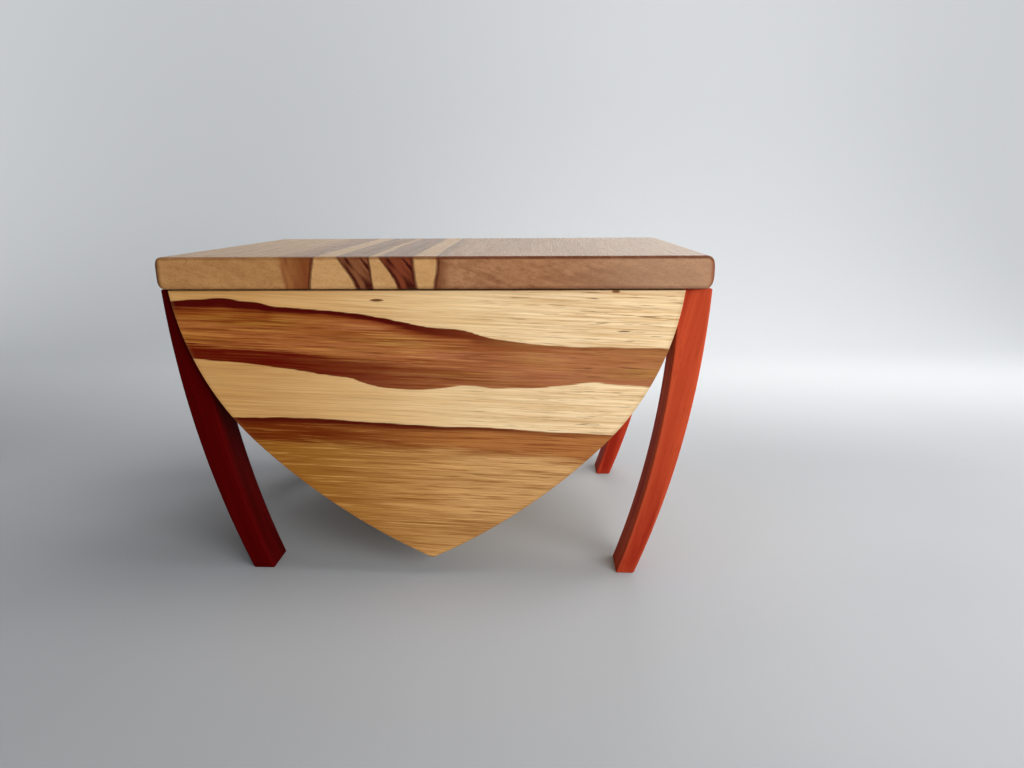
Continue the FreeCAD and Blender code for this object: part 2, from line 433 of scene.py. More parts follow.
@dataclass(frozen=True)
class FiguredVeneer:
    """Pale veneer with two brown heart bands that drift down to the right, over cross-laid plies.

    The knots are given by X, height, length and thickness in millimetres.
    """

    name: str = "figured_veneer"
    face_y: float = -PANEL_FACE
    mirrored: bool = False
    veneer_depth: float = 0.6 * MM
    ply_depth: float = 1.1 * MM
    slope: float = 0.042
    clean_edge: float = 0.3 * MM
    relief_depth: float = 0.12 * MM
    roughness: Pair = (0.46, 0.6)
    shine: float = 0.05
    cream: Colour = (244, 217, 173)
    cream_streak: Colour = (196, 150, 96)
    cream_light: Colour = (246, 226, 190)
    cream_painted_left_shade: Colour = (222, 206, 203)
    brown: Colour = (148, 86, 38)
    brown_olive: Colour = (168, 124, 62)
    brown_rose: Colour = (176, 112, 78)
    brown_right: Colour = (172, 112, 76)
    brown_gold: Colour = (178, 122, 70)
    brown_dark: Colour = (112, 54, 24)
    brown_light: Colour = (206, 154, 92)
    stripe: Colour = (94, 13, 1)
    stripe_light: Colour = (134, 58, 24)
    maroon: Colour = (76, 7, 3)
    lower_brown: Colour = (110, 50, 13)
    lower_light: Colour = (176, 114, 62)
    gold: Colour = (212, 166, 110)
    gold_deep: Colour = (158, 111, 52)
    gold_streak: Colour = (138, 86, 36)
    gold_light: Colour = (228, 186, 128)
    fine_dark: Colour = (104, 58, 24)
    pore_dark: Colour = (104, 64, 30)
    knot_dark: Colour = (84, 36, 10)
    painted_left_warm_shade: Colour = (255, 238, 190)
    ply_light: Colour = (214, 178, 126)
    ply_dark: Colour = (158, 112, 66)
    ply_end: Colour = (128, 86, 48)
    worn: Colour = (150, 100, 54)
    ragged: Pattern = Pattern((26, 1, 130), 3)
    feathered: Pattern = Pattern((60, 1, 1500))
    fine: Pattern = Pattern((14, 20, 1900), 4, 0.62, cut=(0.44, 0.70))
    thin: Pattern = Pattern((22, 9, 800), 4, 0.6, 0.3, (0.2, 0.0, 0.6), (0.40, 0.66))
    broad: Pattern = Pattern((7, 5, 260), 4, 0.6, 0.4, (0.3, 0.0, 0.1), (0.38, 0.64))
    flake: Pattern = Pattern((24, 12, 900), 4, 0.62, 0.2, (0.5, 0.0, 0.9))
    dark_cut: Pair = (0.51, 0.64)
    light_cut: Pair = (0.47, 0.35)
    fleck: Pattern = Pattern((120, 20, 2600), shift=(0.8, 0.0, 0.3))
    hue: Pattern = Pattern((10, 3, 70), shift=(0.6, 0.0, 0.2))
    pore: Pattern = Pattern((50, 30, 2300), 2, 0.6, shift=(0.11, 0.0, 0.05), cut=(0.62, 0.70))
    end_fibre: Pattern = Pattern((420, 60, 420), 3, cut=(0.4, 0.65))
    top_edge: FigureLine = FigureLine((
        (-150, 163.5), (-124, 165), (-115, 165.5), (-105, 164), (-95, 163), (-88, 161), (-77, 160),
        (-39, 156.6), (-18, 152.5), (-2, 149.5), (18, 147.5), (27, 144.5), (43, 141.5), (71, 139),
        (102, 138.5), (150, 136)))
    stripe_edge: FigureLine = FigureLine((
        (-150, 140.5), (-131, 139), (-88, 136), (-50, 131.5), (-25, 129), (8, 127), (40, 125),
        (80, 122), (150, 118)))
    middle_edge: FigureLine = FigureLine((
        (-150, 133), (-108, 129), (-80, 125.5), (-57, 122), (-46, 120.5), (-36, 117), (-25, 115),
        (-3, 114.5), (19, 116.5), (34, 115), (74, 117), (87, 118.5), (103, 117.5), (150, 114.5)))
    low_edge: FigureLine = FigureLine((
        (-150, 98), (-116, 97.5), (-70, 97), (-4, 93), (25, 92.5), (66, 90), (99, 88.5), (150, 86)))
    fade_edge: FigureLine = FigureLine((
        (-150, 83), (-106, 82.5), (-71, 82), (-4, 79), (46, 76.5), (74, 73.5), (150, 66)))
    maroon_depth: FigureLine = FigureLine((
        (-150, 4.4), (-118, 6.2), (-93, 5.6), (-84, 3.6), (-30, 3.2), (0, 5.0), (30, 5.0), (60, 2.5),
        (150, 1.6)), span=(0.0, 10.0))
    knots: tuple[tuple[float, float, float, float], ...] = (
        (-29.4, 164.2, 4.4, 0.8), (99.0, 168.9, 2.4, 1.0), (117.0, 155.1, 8.0, 0.3),
        (104.0, 147.2, 5.0, 0.25))

    @property
    def tilt(self) -> Triple:
        """The lean of the fibres about each axis, down to the right on the face."""
        return (0.0, self.slope if self.mirrored else -self.slope, 0.0)

    def make(self) -> bpy.types.Material:
        """The veneer's material.

        Returns:
            A material whose bands follow the figure lines, with streaks, pores, ply edges and painted shade
            towards the left end.
        """
        s = NodeSheet(self.name)
        along = s.times(s.x, -1.0 if self.mirrored else 1.0)
        ragged = s.swing(self.ragged.field(s), 1.6 * MM)
        feathered = s.swing(self.feathered.field(s), 1.2 * MM)
        level = s.plus(s.z, s.plus(ragged, feathered))
        fibres = self.fibres(s)
        colour = self.bands(s, along, level, fibres)
        fine_streak = s.step(fibres.fine, *self.fine.cut)
        colour = s.mix(s.times(fine_streak, 0.26), colour, self.fine_dark, Blend.DARKEN)
        pores = s.times(self.pore.share(s, self.tilt), s.step(along, -0.03, 0.12, 0.14, 0.95))
        colour = s.mix(pores, colour, self.pore_dark, Blend.DARKEN)
        colour = self.knotted(s, along, level, colour)
        # Painted shade: the whole face is darkened and warmed towards its left end.
        colour = s.mix(s.step(along, 0.09, -0.13), colour, self.painted_left_warm_shade, Blend.MULTIPLY)
        colour = self.edged(s, colour)
        relief = s.minus(s.times(fibres.fine, 0.6), pores)
        roughness = s.rough(fibres.fine, self.roughness)
        return s.surface(colour, roughness, relief, self.relief_depth, Specular_IOR_Level=self.shine)

    def fibres(self, s: NodeSheet) -> VeneerFibres:
        """The streaks that run along the fibres.

        Args:
            s: the material's nodes.

        Returns:
            The noises and streaks.
        """
        patterns = (self.fine, self.thin, self.broad, self.flake, self.fleck, self.hue)
        fine, thin, broad, flake, fleck, hue = (pattern.field(s, self.tilt) for pattern in patterns)
        thin_streak = s.step(thin, *self.thin.cut)
        broad_streak = s.step(broad, *self.broad.cut)
        streaks = s.times(s.plus(thin_streak, broad_streak), 0.5)
        dark, light = s.step(flake, *self.dark_cut), s.step(flake, *self.light_cut)
        return VeneerFibres(fine, thin, fleck, hue, thin_streak, streaks, dark, light)

    def woods(self, s: NodeSheet, along: Socket, fibres: VeneerFibres) -> tuple[Socket, ...]:
        """The colours that the bands are made of, each with its streaks.

        Args:
            s: the material's nodes.
            along: the place along the face.
            fibres: the noises and streaks.

        Returns:
            Cream, brown, the lower brown and gold.
        """
        streaks, dark, light = fibres.streaks, fibres.dark, fibres.light
        to_right = s.step(along, -0.02, 0.10)

        def growing(left: float, right: float) -> Socket:
            """A share that changes from left to right of the face."""
            return s.ranged(to_right, 0.0, 1.0, left, right)

        cream = s.coats(
            self.cream,
            (streaks, growing(0.34, 0.75), self.cream_streak),
            (dark, growing(0.16, 0.55), self.cream_streak),
            (light, 0.4, self.cream_light))
        # Painted shade: the cream is darkened towards the left end of the face, where less light falls.
        cream = s.mix(s.step(along, 0.06, -0.12), cream, self.cream_painted_left_shade, Blend.MULTIPLY)
        brown = s.coats(
            s.mix(s.step(fibres.hue, 0.38, 0.62), self.brown_olive, self.brown_rose),
            (streaks, 1.0, self.brown),
            (dark, growing(0.75, 0.3), self.brown_dark),
            (light, growing(0.55, 0.3), self.brown_light),
            (s.step(fibres.fleck, 0.66, 0.76), 0.5, self.brown_light),
            (s.step(fibres.thin, 0.60, 0.74), 0.45, self.stripe),
            (to_right, 0.3, self.brown_right))
        lower = s.coats(
            s.mix(s.step(along, -0.08, 0.03), self.lower_brown, self.lower_light),
            (streaks, 0.55, self.lower_brown),
            (light, 0.5, self.brown_gold),
            (dark, 0.5, self.stripe))
        gold = s.coats(
            s.mix(s.step(along, -0.09, 0.03), self.gold_deep, self.gold),
            (streaks, 0.6, self.gold_streak),
            (dark, 0.7, self.gold_streak),
            (light, 0.4, self.gold_light))
        return cream, brown, lower, gold

    def bands(self, s: NodeSheet, along: Socket, level: Socket, fibres: VeneerFibres) -> Socket:
        """The bands of the face, laid from its point up to the rim.

        Args:
            s: the material's nodes.
            along: the place along the face.
            level: the height on the face, frayed.
            fibres: the noises and streaks.

        Returns:
            The colour before pores and knots.
        """
        cream, brown, lower, gold = self.woods(s, along, fibres)

        def over(line: FigureLine) -> Socket:
            """Height over a figure line."""
            return s.minus(level, line.at(s, along))

        def frayed(line: FigureLine, reach: float) -> Socket:
            """Height over a line that the thin streaks fray."""
            return s.plus(over(line), s.swing(fibres.thin, reach))

        def past(height: Socket) -> Socket:
            """The share above a clean line."""
            return s.step(height, -self.clean_edge, self.clean_edge)

        fade_from = s.step(along, -0.04, 0.08, -1.5 * MM, -5.0 * MM)
        fade = s.step(frayed(self.fade_edge, 16.0 * MM), fade_from, 3.0 * MM)
        colour = s.mix(fade, gold, lower)
        low = over(self.low_edge)
        low_line = s.step(low, -4.2 * MM, -1.0 * MM)
        colour = s.coats(colour, (low_line, s.step(along, -0.02, 0.1, 0.9, 0.35), self.maroon))
        colour = s.mix(past(low), colour, cream)
        stripe_share = s.times(s.step(along, 0.06, -0.09, 0.12, 1.0),
                               s.ranged(fibres.thin_streak, 0.0, 1.0, 1.0, 0.82))
        stripe = s.mix(stripe_share, brown, self.stripe)
        over_stripe = s.step(frayed(self.stripe_edge, 14.0 * MM), -1.6 * MM, 1.6 * MM)
        colour = s.mix(past(over(self.middle_edge)), colour, s.mix(over_stripe, stripe, brown))
        top = over(self.top_edge)
        depth = s.times(self.maroon_depth.at(s, along), s.ranged(fibres.thin, 0.3, 0.7, 0.7, 1.3))
        for far, near, fading, paint in (
                (-2.4, -0.6, (0.07, 0.0, 0.2, 0.85), self.stripe_light),
                (-1.2, -0.55, (0.06, -0.03, 0.25, 1.0), self.maroon)):
            line = s.step(top, s.times(depth, far), s.times(depth, near))
            colour = s.coats(colour, (line, s.step(along, *fading), paint))
        return s.mix(past(top), colour, cream)

    def knotted(self, s: NodeSheet, along: Socket, level: Socket, colour: Socket) -> Socket:
        """A colour with the small knots laid over it.

        Args:
            s: the material's nodes.
            along: the place along the face.
            level: the height on the face, frayed.
            colour: the colour below.

        Returns:
            The colour with its knots.
        """
        for knot_x, knot_z, length, thickness in self.knots:
            across = s.math("DIVIDE", s.minus(along, knot_x * MM), length * MM)
            up = s.math("DIVIDE", s.minus(level, knot_z * MM), thickness * MM)
            reach = s.plus(s.times(across, across), s.size(up))
            colour = s.coats(colour, (s.step(reach, 1.2, 0.6), 0.9, self.knot_dark))
        return colour

    def edged(self, s: NodeSheet, colour: Socket) -> Socket:
        """A colour with plies behind the veneer and wear on the arrises.

        Args:
            s: the material's nodes.
            colour: the veneer's colour.

        Returns:
            The colour of face and edges.
        """
        inward, second = s.plies(self.face_y, self.ply_depth)
        dark_ply = s.mix(self.end_fibre.share(s), self.ply_dark, self.ply_end)
        plies = s.mix(second, dark_ply, self.ply_light)
        behind = s.step(inward, self.veneer_depth, self.veneer_depth * 1.2)
        colour = s.mix(behind, colour, plies)
        return s.coats(colour, (s.attribute("wear"), 0.3, self.worn))


@dataclass(frozen=True)
class Patch:
    """A patch of the lid that starts at a line and goes on to the right, with a dark rim in millimetres."""

    wood: PatchWood
    line: FigureLine
    rim: float


@dataclass(frozen=True)
class LidFibres:
    """A lid board's noises, and the streaks cut from them, as node outputs from 0 to 1."""

    fine: Socket
    mottle: Socket
    mottled: Socket
    slant: Socket
    clouds: Socket


@dataclass(frozen=True)
class LidWood:
    """Brown board with pale sapwood patches and dark heart between them, fibres from front to rear."""

    name: str
    shift: Triple
    tan: Colour = (188, 140, 88)
    tan_ring: Colour = (148, 100, 56)
    heart: Colour = (126, 70, 32)
    heart_light: Colour = (154, 100, 56)
    sapwood: Colour = (199, 154, 102)
    sap_ring: Colour = (176, 126, 74)
    dark: Colour = (122, 58, 34)
    dark_pale: Colour = (130, 78, 48)
    darker: Colour = (56, 10, 4)
    core: Colour = (66, 16, 8)
    walnut: Colour = (172, 124, 88)
    walnut_dark: Colour = (116, 68, 40)
    walnut_pale: Colour = (182, 150, 122)
    bleached_and_sheen: Colour = (152, 138, 116)
    bleached_and_sheen_fibre: Colour = (140, 114, 90)
    fibre_dark: Colour = (92, 52, 30)
    pore_dark: Colour = (60, 32, 18)
    darkened_arris: Colour = (88, 40, 18)
    ends_painted_shade: Colour = (104, 50, 24)
    haze: tuple[float, float, float, float] = (0.86, 0.95, 1.0, 1.0)
    lean: float = 0.035
    slant_turn: float = -0.32
    relief_depth: float = 0.05 * MM
    roughness: Pair = (0.46, 0.58)
    top_polish: float = 0.22
    shine: float = 0.06
    haze_weight: float = 0.05
    haze_roughness: float = 0.35
    wander: Pattern = Pattern((14, 9, 60), 3)
    feather: Pattern = Pattern((500, 30, 300))
    fine: Pattern = Pattern((1000, 14, 1000), 3, 0.6)
    slant: Pattern = Pattern((45, 7, 330), 4, 0.6, 0.3, cut=(0.40, 0.68))
    clouds: Pattern = Pattern((28, 5, 60), 3, 0.5, 0.5, cut=(0.36, 0.66))
    mottle: Pattern = Pattern((230, 14, 420), 4, 0.65, cut=(0.42, 0.68))
    pore: Pattern = Pattern((1500, 40, 1500), 1, cut=(0.66, 0.74))
    heart_line: FigureLine = cross_line((165, -78), (178, -80), (190, -82))
    walnut_line: FigureLine = cross_line((165, 6), (178, 8), (190, 9))
    patches: tuple[Patch, ...] = (
        Patch(PatchWood.SAPWOOD, cross_line((165, -66), (178, -64.6), (190, -62)), 1.4),
        Patch(PatchWood.PALE_HEART,
              cross_line((165, -37.5), (170, -39.3), (176, -42), (182, -46), (190, -51)), 1.6),
        Patch(PatchWood.SAPWOOD, cross_line((165, -30.5), (178, -32), (190, -33)), 1.0),
        Patch(PatchWood.DARK_HEART,
              cross_line((165, -15.5), (170, -17), (176, -19.5), (182, -23.5), (190, -29)), 1.1),
        Patch(PatchWood.SAPWOOD, cross_line((165, -6.8), (178, -8.6), (190, -9.6)), 1.6),
        Patch(PatchWood.BROWN, cross_line((165, 1.5), (172, 2.6), (180, 4.2), (190, 4.6)), 1.6),
    )

    def make(self) -> bpy.types.Material:
        """The board's material.

        Returns:
            A material that is solid through the board, so its end and its top agree.
        """
        s = NodeSheet(self.name)
        mottle = self.mottle.field(s, shift=self.shift)
        fibres = LidFibres(
            fine=self.fine.field(s, shift=self.shift),
            mottle=mottle,
            mottled=s.step(mottle, *self.mottle.cut),
            slant=self.slant.share(s, (0.0, self.slant_turn, 0.0), self.shift),
            clouds=self.clouds.share(s, shift=self.shift))
        top = s.step(s.z, LID_TOP - 1.0 * MM, LID_TOP - 0.1 * MM)
        colour = self.aged_with_painted_light(s, top, fibres, self.figure(s, fibres))
        pores = self.pore.share(s, shift=self.shift)
        colour = s.coats(colour, (pores, 0.3, self.pore_dark))
        relief = s.minus(s.times(fibres.fine, 0.5), pores)
        roughness = s.minus(s.rough(fibres.fine, self.roughness), s.times(top, self.top_polish))
        return s.surface(colour, roughness, relief, self.relief_depth, Specular_IOR_Level=self.shine,
                         Sheen_Weight=self.haze_weight, Sheen_Roughness=self.haze_roughness,
                         Sheen_Tint=self.haze)

    def figure(self, s: NodeSheet, fibres: LidFibres) -> Socket:
        """Tan wood, heart, the patches and brown wood, each laid from its line to the right.

        Args:
            s: the material's nodes.
            fibres: the noises and streaks.

        Returns:
            The colour of fresh wood.
        """
        inward = s.minus(s.y, LID_FRONT)
        wander = s.swing(self.wander.field(s, shift=self.shift), 4.0 * MM)
        wander = s.times(wander, s.step(inward, 0.0, 0.06, 0.15, 1.0))
        feather = s.swing(self.feather.field(s, shift=self.shift), 1.0 * MM)
        x = s.plus(s.plus(s.x, s.times(inward, self.lean)), s.plus(wander, feather))

        def past(line: FigureLine) -> Socket:
            """Distance to the right of a line."""
            return s.minus(x, line.at(s, s.z))

        def soft(over: Socket, reach: float) -> Socket:
            """The share past a line whose border is soft by reach either way, in millimetres."""
            return s.step(over, -reach * MM, reach * MM)

        def upright(over: Socket) -> Socket:
            """Thin streaks that follow a patch's own edge."""
            place = s.vector(s.times(over, 300.0), s.times(s.y, 9.0), s.times(s.z, 40.0))
            return s.step(s.noise(place), 0.42, 0.60)

        slant, clouds, mottled = fibres.slant, fibres.clouds, fibres.mottled
        colour = s.coats(self.tan, *((mask, most, self.tan_ring) for mask, most in (
            (slant, 0.34), (clouds, 0.25), (mottled, 0.35))))
        over = past(self.heart_line)
        heart = s.mix(s.step(over, 0.0, 15.0 * MM), self.heart_light, self.heart)
        heart = s.coats(heart, (upright(over), 0.5, self.dark))
        colour = s.mix(soft(over, 1.6), colour, heart)
        sapwood = s.coats(self.sapwood, (slant, 0.4, self.sap_ring), (mottled, 0.3, self.sap_ring))
        plain = {PatchWood.SAPWOOD: sapwood, PatchWood.BROWN: self.walnut_dark}
        streaked = {PatchWood.PALE_HEART: self.dark_pale, PatchWood.DARK_HEART: self.dark}
        for patch in self.patches:
            over = past(patch.line)
            paint = plain.get(patch.wood)
            if paint is None:
                paint = s.mix(upright(over), streaked[patch.wood], self.darker)
            rim = s.step(s.size(over), patch.rim * MM, 0.3 * MM)
            colour = s.mix(soft(over, 0.5), colour, paint)
            colour = s.coats(colour, (rim, 0.75, self.core))
        walnut_mottle = s.step(fibres.mottle, 0.42, 0.70)
        walnut = s.coats(self.walnut, *((mask, most, self.walnut_dark) for mask, most in (
            (slant, 0.5), (clouds, 0.45), (walnut_mottle, 0.45))))
        walnut = s.coats(walnut, (s.step(s.x, 0.05, 0.13), 0.45, self.walnut_pale))
        return s.mix(soft(past(self.walnut_line), 4.5), colour, walnut)

    def aged_with_painted_light(self, s: NodeSheet, top: Socket, fibres: LidFibres, colour: Socket) -> Socket:
        """A colour with dark fibres, a top paled partly by bleaching and partly by a painted sheen, darkened
        arrises, and ends darkened by painted shade.

        Args:
            s: the material's nodes.
            top: the share of the board's top.
            fibres: the noises and streaks.
            colour: the colour of fresh wood.

        Returns:
            The colour of the lid, with its wear and painted light.
        """
        colour = s.coats(colour, (s.step(fibres.fine, 0.48, 0.78), 0.3, self.fibre_dark))
        # The top is paled to a greyish tone: partly bleaching, partly a painted sheen.
        bleached_and_sheen = s.coats(self.bleached_and_sheen, (s.step(fibres.fine, 0.4, 0.7), 0.4, self.bleached_and_sheen_fibre))
        colour = s.coats(colour, (top, 0.5, bleached_and_sheen))
        # A darker line along the arrises: full at the top and on the right board, weaker lower down and to
        # the left.
        arris = s.times(s.step(s.attribute("wear"), 0.3, 0.95), s.step(fibres.mottle, 0.30, 0.62, 0.75, 0.9))
        arris = s.times(arris, s.step(s.x, -0.07, 0.03, 0.45, 1.0))
        to_top = s.step(s.z, LID_TOP - 12.0 * MM, LID_TOP - 5.0 * MM, 0.4, 1.0)
        # Painted shade: the rounded ends of the lid are darkened, less so on the top.
        ends = s.step(s.size(s.x), LID_END - 5.0 * MM, LID_END - 0.5 * MM, 0.0, 0.85)
        return s.coats(
            colour,
            (arris, to_top, self.darkened_arris),
            (ends, s.ranged(top, 0.0, 1.0, 1.0, 0.3), self.ends_painted_shade))


@dataclass(frozen=True)
class RedHeartwood:
    """Straight-grained red hardwood with darker bands and short open pores, leaning by turn about Y."""

    name: str
    light: Colour
    deep: Colour
    worn: Colour
    turn: float = 0.0
    shift: Triple = STILL
    grain: Grain = Grain.ALONG_Z
    pore_dark: Colour = (54, 6, 3)
    relief_depth: float = 0.08 * MM
    roughness: Pair = (0.46, 0.6)
    shine: float = 0.02

    def make(self) -> bpy.types.Material:
        """The wood's material.

        Returns:
            A material with bands, fibres, pores and paler worn arrises.
        """
        s = NodeSheet(self.name)
        turn = (0.0, self.turn, 0.0)
        bands = Pattern(self.grain.scale(5, 120), 3, distortion=0.4, cut=(0.36, 0.70))
        pores = Pattern(self.grain.scale(110, 2100), 1, cut=(0.66, 0.74)).share(s, turn, self.shift)
        fibres = Pattern(self.grain.scale(24, 1500), 3, 0.6).field(s, turn, self.shift)
        colour = s.coats(
            s.mix(bands.share(s, turn, self.shift), self.light, self.deep),
            (s.step(fibres, 0.42, 0.78), 0.35, self.deep),
            (pores, 0.4, self.pore_dark),
            (s.attribute("wear"), 0.3, self.worn))
        relief = s.minus(s.times(fibres, 0.5), pores)
        roughness = s.rough(fibres, self.roughness)
        return s.surface(colour, roughness, relief, self.relief_depth, Specular_IOR_Level=self.shine)


@dataclass(frozen=True)
class PlainWood:
    """Quiet pale wood or ply: fine fibres, soft streaks, and plies across its thickness.

    Plies lie in from face_y, or follow the layer that the mesh carries where no face is given.
    """

    name: str
    light: Colour
    streak: Colour
    grain: Grain
    face_y: Optional[float] = None
    ply_depth: float = 1.5 * MM
    fibre_dark: Colour = (150, 104, 58)
    ply_dark: Colour = (142, 98, 56)
    relief_depth: float = 0.06 * MM
    roughness: Pair = (0.45, 0.6)
    shine: float = 0.12

    def make(self) -> bpy.types.Material:
        """The wood's material.

        Returns:
            A material with streaks, fibres and plies.
        """
        s = NodeSheet(self.name)
        streaks = Pattern(self.grain.scale(6, 190), 3, distortion=0.4, cut=(0.38, 0.68)).share(s)
        fibres = Pattern(self.grain.scale(25, 1500), 3, 0.6).field(s)
        if self.face_y is None:
            layer = s.attribute("layer")
            dark = s.times(s.step(layer, 0.30, 0.36), s.step(layer, 0.70, 0.64))
        else:
            inward, second = s.plies(self.face_y, self.ply_depth)
            dark = s.times(second, s.step(inward, 0.2 * MM, 0.3 * MM))
        colour = s.coats(
            s.mix(streaks, self.light, self.streak),
            (s.step(fibres, 0.42, 0.75), 0.3, self.fibre_dark),
            (dark, 0.55, self.ply_dark))
        roughness = s.rough(fibres, self.roughness)
        return s.surface(colour, roughness, fibres, self.relief_depth, Specular_IOR_Level=self.shine)


@dataclass(frozen=True)
class WornBrass:
    """Yellow brass with a dull, finger-marked polish."""

    name: str = "worn_brass"
    bright: Colour = (214, 178, 104)
    dull: Colour = (150, 112, 58)
    marks: Pattern = Pattern((160, 160, 160), 4, 0.6)
    brushing: Pattern = Pattern((60, 2400, 2400))
    relief_depth: float = 0.02 * MM
    roughness: Pair = (0.22, 0.42)

    def make(self) -> bpy.types.Material:
        """The metal's material.

        Returns:
            A material with dull marks and fine brush lines.
        """
        s = NodeSheet(self.name)
        marks, brushed = self.marks.field(s), self.brushing.field(s)
        colour = s.mix(s.step(marks, *self.marks.cut), self.bright, self.dull)
        roughness = s.plus(s.rough(marks, self.roughness), s.swing(brushed, 0.1))
        return s.surface(colour, roughness, brushed, self.relief_depth, Metallic=1.0)


def shade(mesh: bpy.types.Mesh) -> None:
    """Shades a mesh smooth, apart from edges that turn quickly."""
    mesh.shade_smooth()
    mesh.set_sharp_from_angle(angle=SHARP_TURN)


def placed(name: str, data: bpy.types.ID) -> bpy.types.Object:
    """Puts a mesh, lamp or camera in the scene.

    Args:
        name: the object's name.
        data: what it shows.

    Returns:
        The object.
    """
    made = bpy.data.objects.new(name, data)
    bpy.context.scene.collection.objects.link(made)
    return made


def closed_surface(name: str, rings: np.ndarray, **numbers: np.ndarray) -> bpy.types.Object:
    """A closed mesh over a grid of rings, with each end drawn together to a pole at its middle.

    Args:
        name: the piece's name.
        rings: places in metres, by ring, place on the ring, and axis.
        numbers: what the mesh carries at each place, by name.

    Returns:
        The piece, with its faces outwards and its edges sharp where they turn quickly.
    """
    stations, around = rings.shape[:2]
    points = np.concatenate([rings.reshape(-1, 3), rings[[0, -1]].mean(1)])
    here = np.arange(stations * around).reshape(stations, around)
    ahead = np.roll(here, -1, axis=1)
    quads = np.stack([here[:-1], ahead[:-1], ahead[1:], here[1:]], -1).reshape(-1, 4)
    poles = np.full(around, stations * around)
    caps = np.concatenate([np.c_[ahead[0], here[0], poles], np.c_[here[-1], ahead[-1], poles + 1]])
    corners = np.concatenate([quads[:, [0, 1, 2]], quads[:, [0, 2, 3]], caps])
    first, second, third = points[corners].transpose(1, 0, 2)
    if np.einsum("ij,ij->", first, np.cross(second, third)) < 0:
        quads, caps = quads[:, ::-1], caps[:, ::-1]
    mesh = bpy.data.meshes.new(name)
    mesh.from_pydata(points.tolist(), [], quads.tolist() + caps.tolist())
    for label, values in numbers.items():
        spread = np.broadcast_to(values, (stations, around))
        carried = mesh.attributes.new(label, "FLOAT", "POINT")
        values = np.r_[spread.ravel(), spread[[0, -1]].mean(1)]
        carried.data.foreach_set("value", values.astype(np.float32))
    work = bmesh.new()
    work.from_mesh(mesh)
    bmesh.ops.remove_doubles(work, verts=work.verts, dist=MERGE_GAP)
    bmesh.ops.dissolve_degenerate(work, edges=work.edges, dist=THIN_EDGE)
    work.to_mesh(mesh)
    work.free()
    shade(mesh)
    return placed(name, mesh)


def carried(section: np.ndarray, along: np.ndarray, side: Side) -> np.ndarray:
    """A section carried along Y: every place (x, z) of it at every y, mirrored to a side.

    Args:
        section: places (x, z) of the right-hand section.
        along: where the rings stand, in Y.
        side: which side the piece is on.

    Returns:
        Rings, by station, place and axis.
    """
    return np.stack(np.broadcast_arrays(section[:, 0] * side.value, along[:, None], section[:, 1]), -1)


def stand_in(piece: bpy.types.Object, node: str, body: str, material: bpy.types.Material) -> None:
    """Puts a dressed piece in the place of a CAD node.

    Args:
        piece: the finer surface.
        node: the CAD node that it stands for.
        body: the moving body that carries it.
        material: what the piece is made of.
    """
    piece.data.materials.append(material)
    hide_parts(node)
    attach(piece, body)
    log.info("%s for %s: %d faces, %s", piece.name, node, len(piece.data.polygons), material.name)


def dress(nodes: Sequence[str], material: bpy.types.Material) -> None:
    """Gives a material to CAD nodes.

    Args:
        nodes: node names.
        material: what they are made of.
    """
    for name in nodes:
        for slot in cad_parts[name].material_slots:
            slot.material = material
        log.info("%s: %s", name, material.name)


def quarter(count: int) -> np.ndarray:
    """Angles of a quarter turn."""
    return np.linspace(0.0, math.pi / 2, count)


@dataclass(frozen=True)
class HullForm:
    """The boat outline in the XZ plane: a shoulder arc and a belly arc, tangent where they meet."""

    half_width: float = 140.0 * MM
    shoulder_radius: float = 150.0 * MM
    belly_radius: float = 340.0 * MM
    rim_lean: float = math.radians(6.5)
    bilge: float = math.radians(44.0)
    tip_round: float = 4.0 * MM
    steps: int = 40
    tip_steps: int = 10

    @property
    def rim(self) -> float:
        """Height of the rim, from the CAD panel."""
        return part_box("front_panel")[1][2]

    @property
    def shoulder(self) -> np.ndarray:
        """Centre of the shoulder arc."""
        reach = self.shoulder_radius * np.array((-math.cos(self.rim_lean), math.sin(self.rim_lean)))
        return np.array((self.half_width, self.rim)) + reach

    @property
    def belly(self) -> np.ndarray:
        """Centre of the belly arc, on the line through the shoulder's centre and the bilge."""
        back = self.shoulder_radius - self.belly_radius
        return self.shoulder + back * np.array((math.cos(self.bilge), -math.sin(self.bilge)))

    @staticmethod
    def arc(centre: np.ndarray, radius: float, leans: np.ndarray) -> np.ndarray:
        """Centre plus radius times (cos lean, -sin lean), for each lean of the tangent."""
        return centre + radius * np.stack([np.cos(leans), -np.sin(leans)], -1)

    def half(self, inset: float, drop: float = 0.0, rounded: bool = False) -> np.ndarray:
        """The right half of the outline, moved in by inset, from the rim down to the middle.

        Args:
            inset: distance inside the outline.
            drop: distance of its start below the rim.
            rounded: whether the point at the bottom is rounded off.

        Returns:
            Places (x, z) along the shoulder arc, the belly arc and the rounded point.
        """
        shoulder, belly = self.shoulder_radius - inset, self.belly_radius - inset
        start = math.asin((self.shoulder[1] - self.rim + drop) / shoulder)
        tip_reach = self.belly_radius - self.tip_round if rounded else belly
        stop = math.acos(-self.belly[0] / tip_reach)
        parts = [
            self.arc(self.shoulder, shoulder, np.linspace(start, self.bilge, self.steps)),
            self.arc(self.belly, belly, np.linspace(self.bilge, stop, self.steps)[1:]),
        ]
        if rounded:
            middle = np.array((0.0, self.belly[1] - tip_reach * math.sin(stop)))
            leans = np.linspace(stop, math.pi / 2, self.tip_steps)[1:]
            parts.append(self.arc(middle, self.tip_round - inset, leans))
        return np.concatenate(parts)

    def x_at(self, z: np.ndarray, inset: float) -> np.ndarray:
        """Half width of the shoulder at a height, for the outline moved in by inset."""
        radius = self.shoulder_radius - inset
        return self.shoulder[0] + np.sqrt(radius ** 2 - (self.shoulder[1] - z) ** 2)


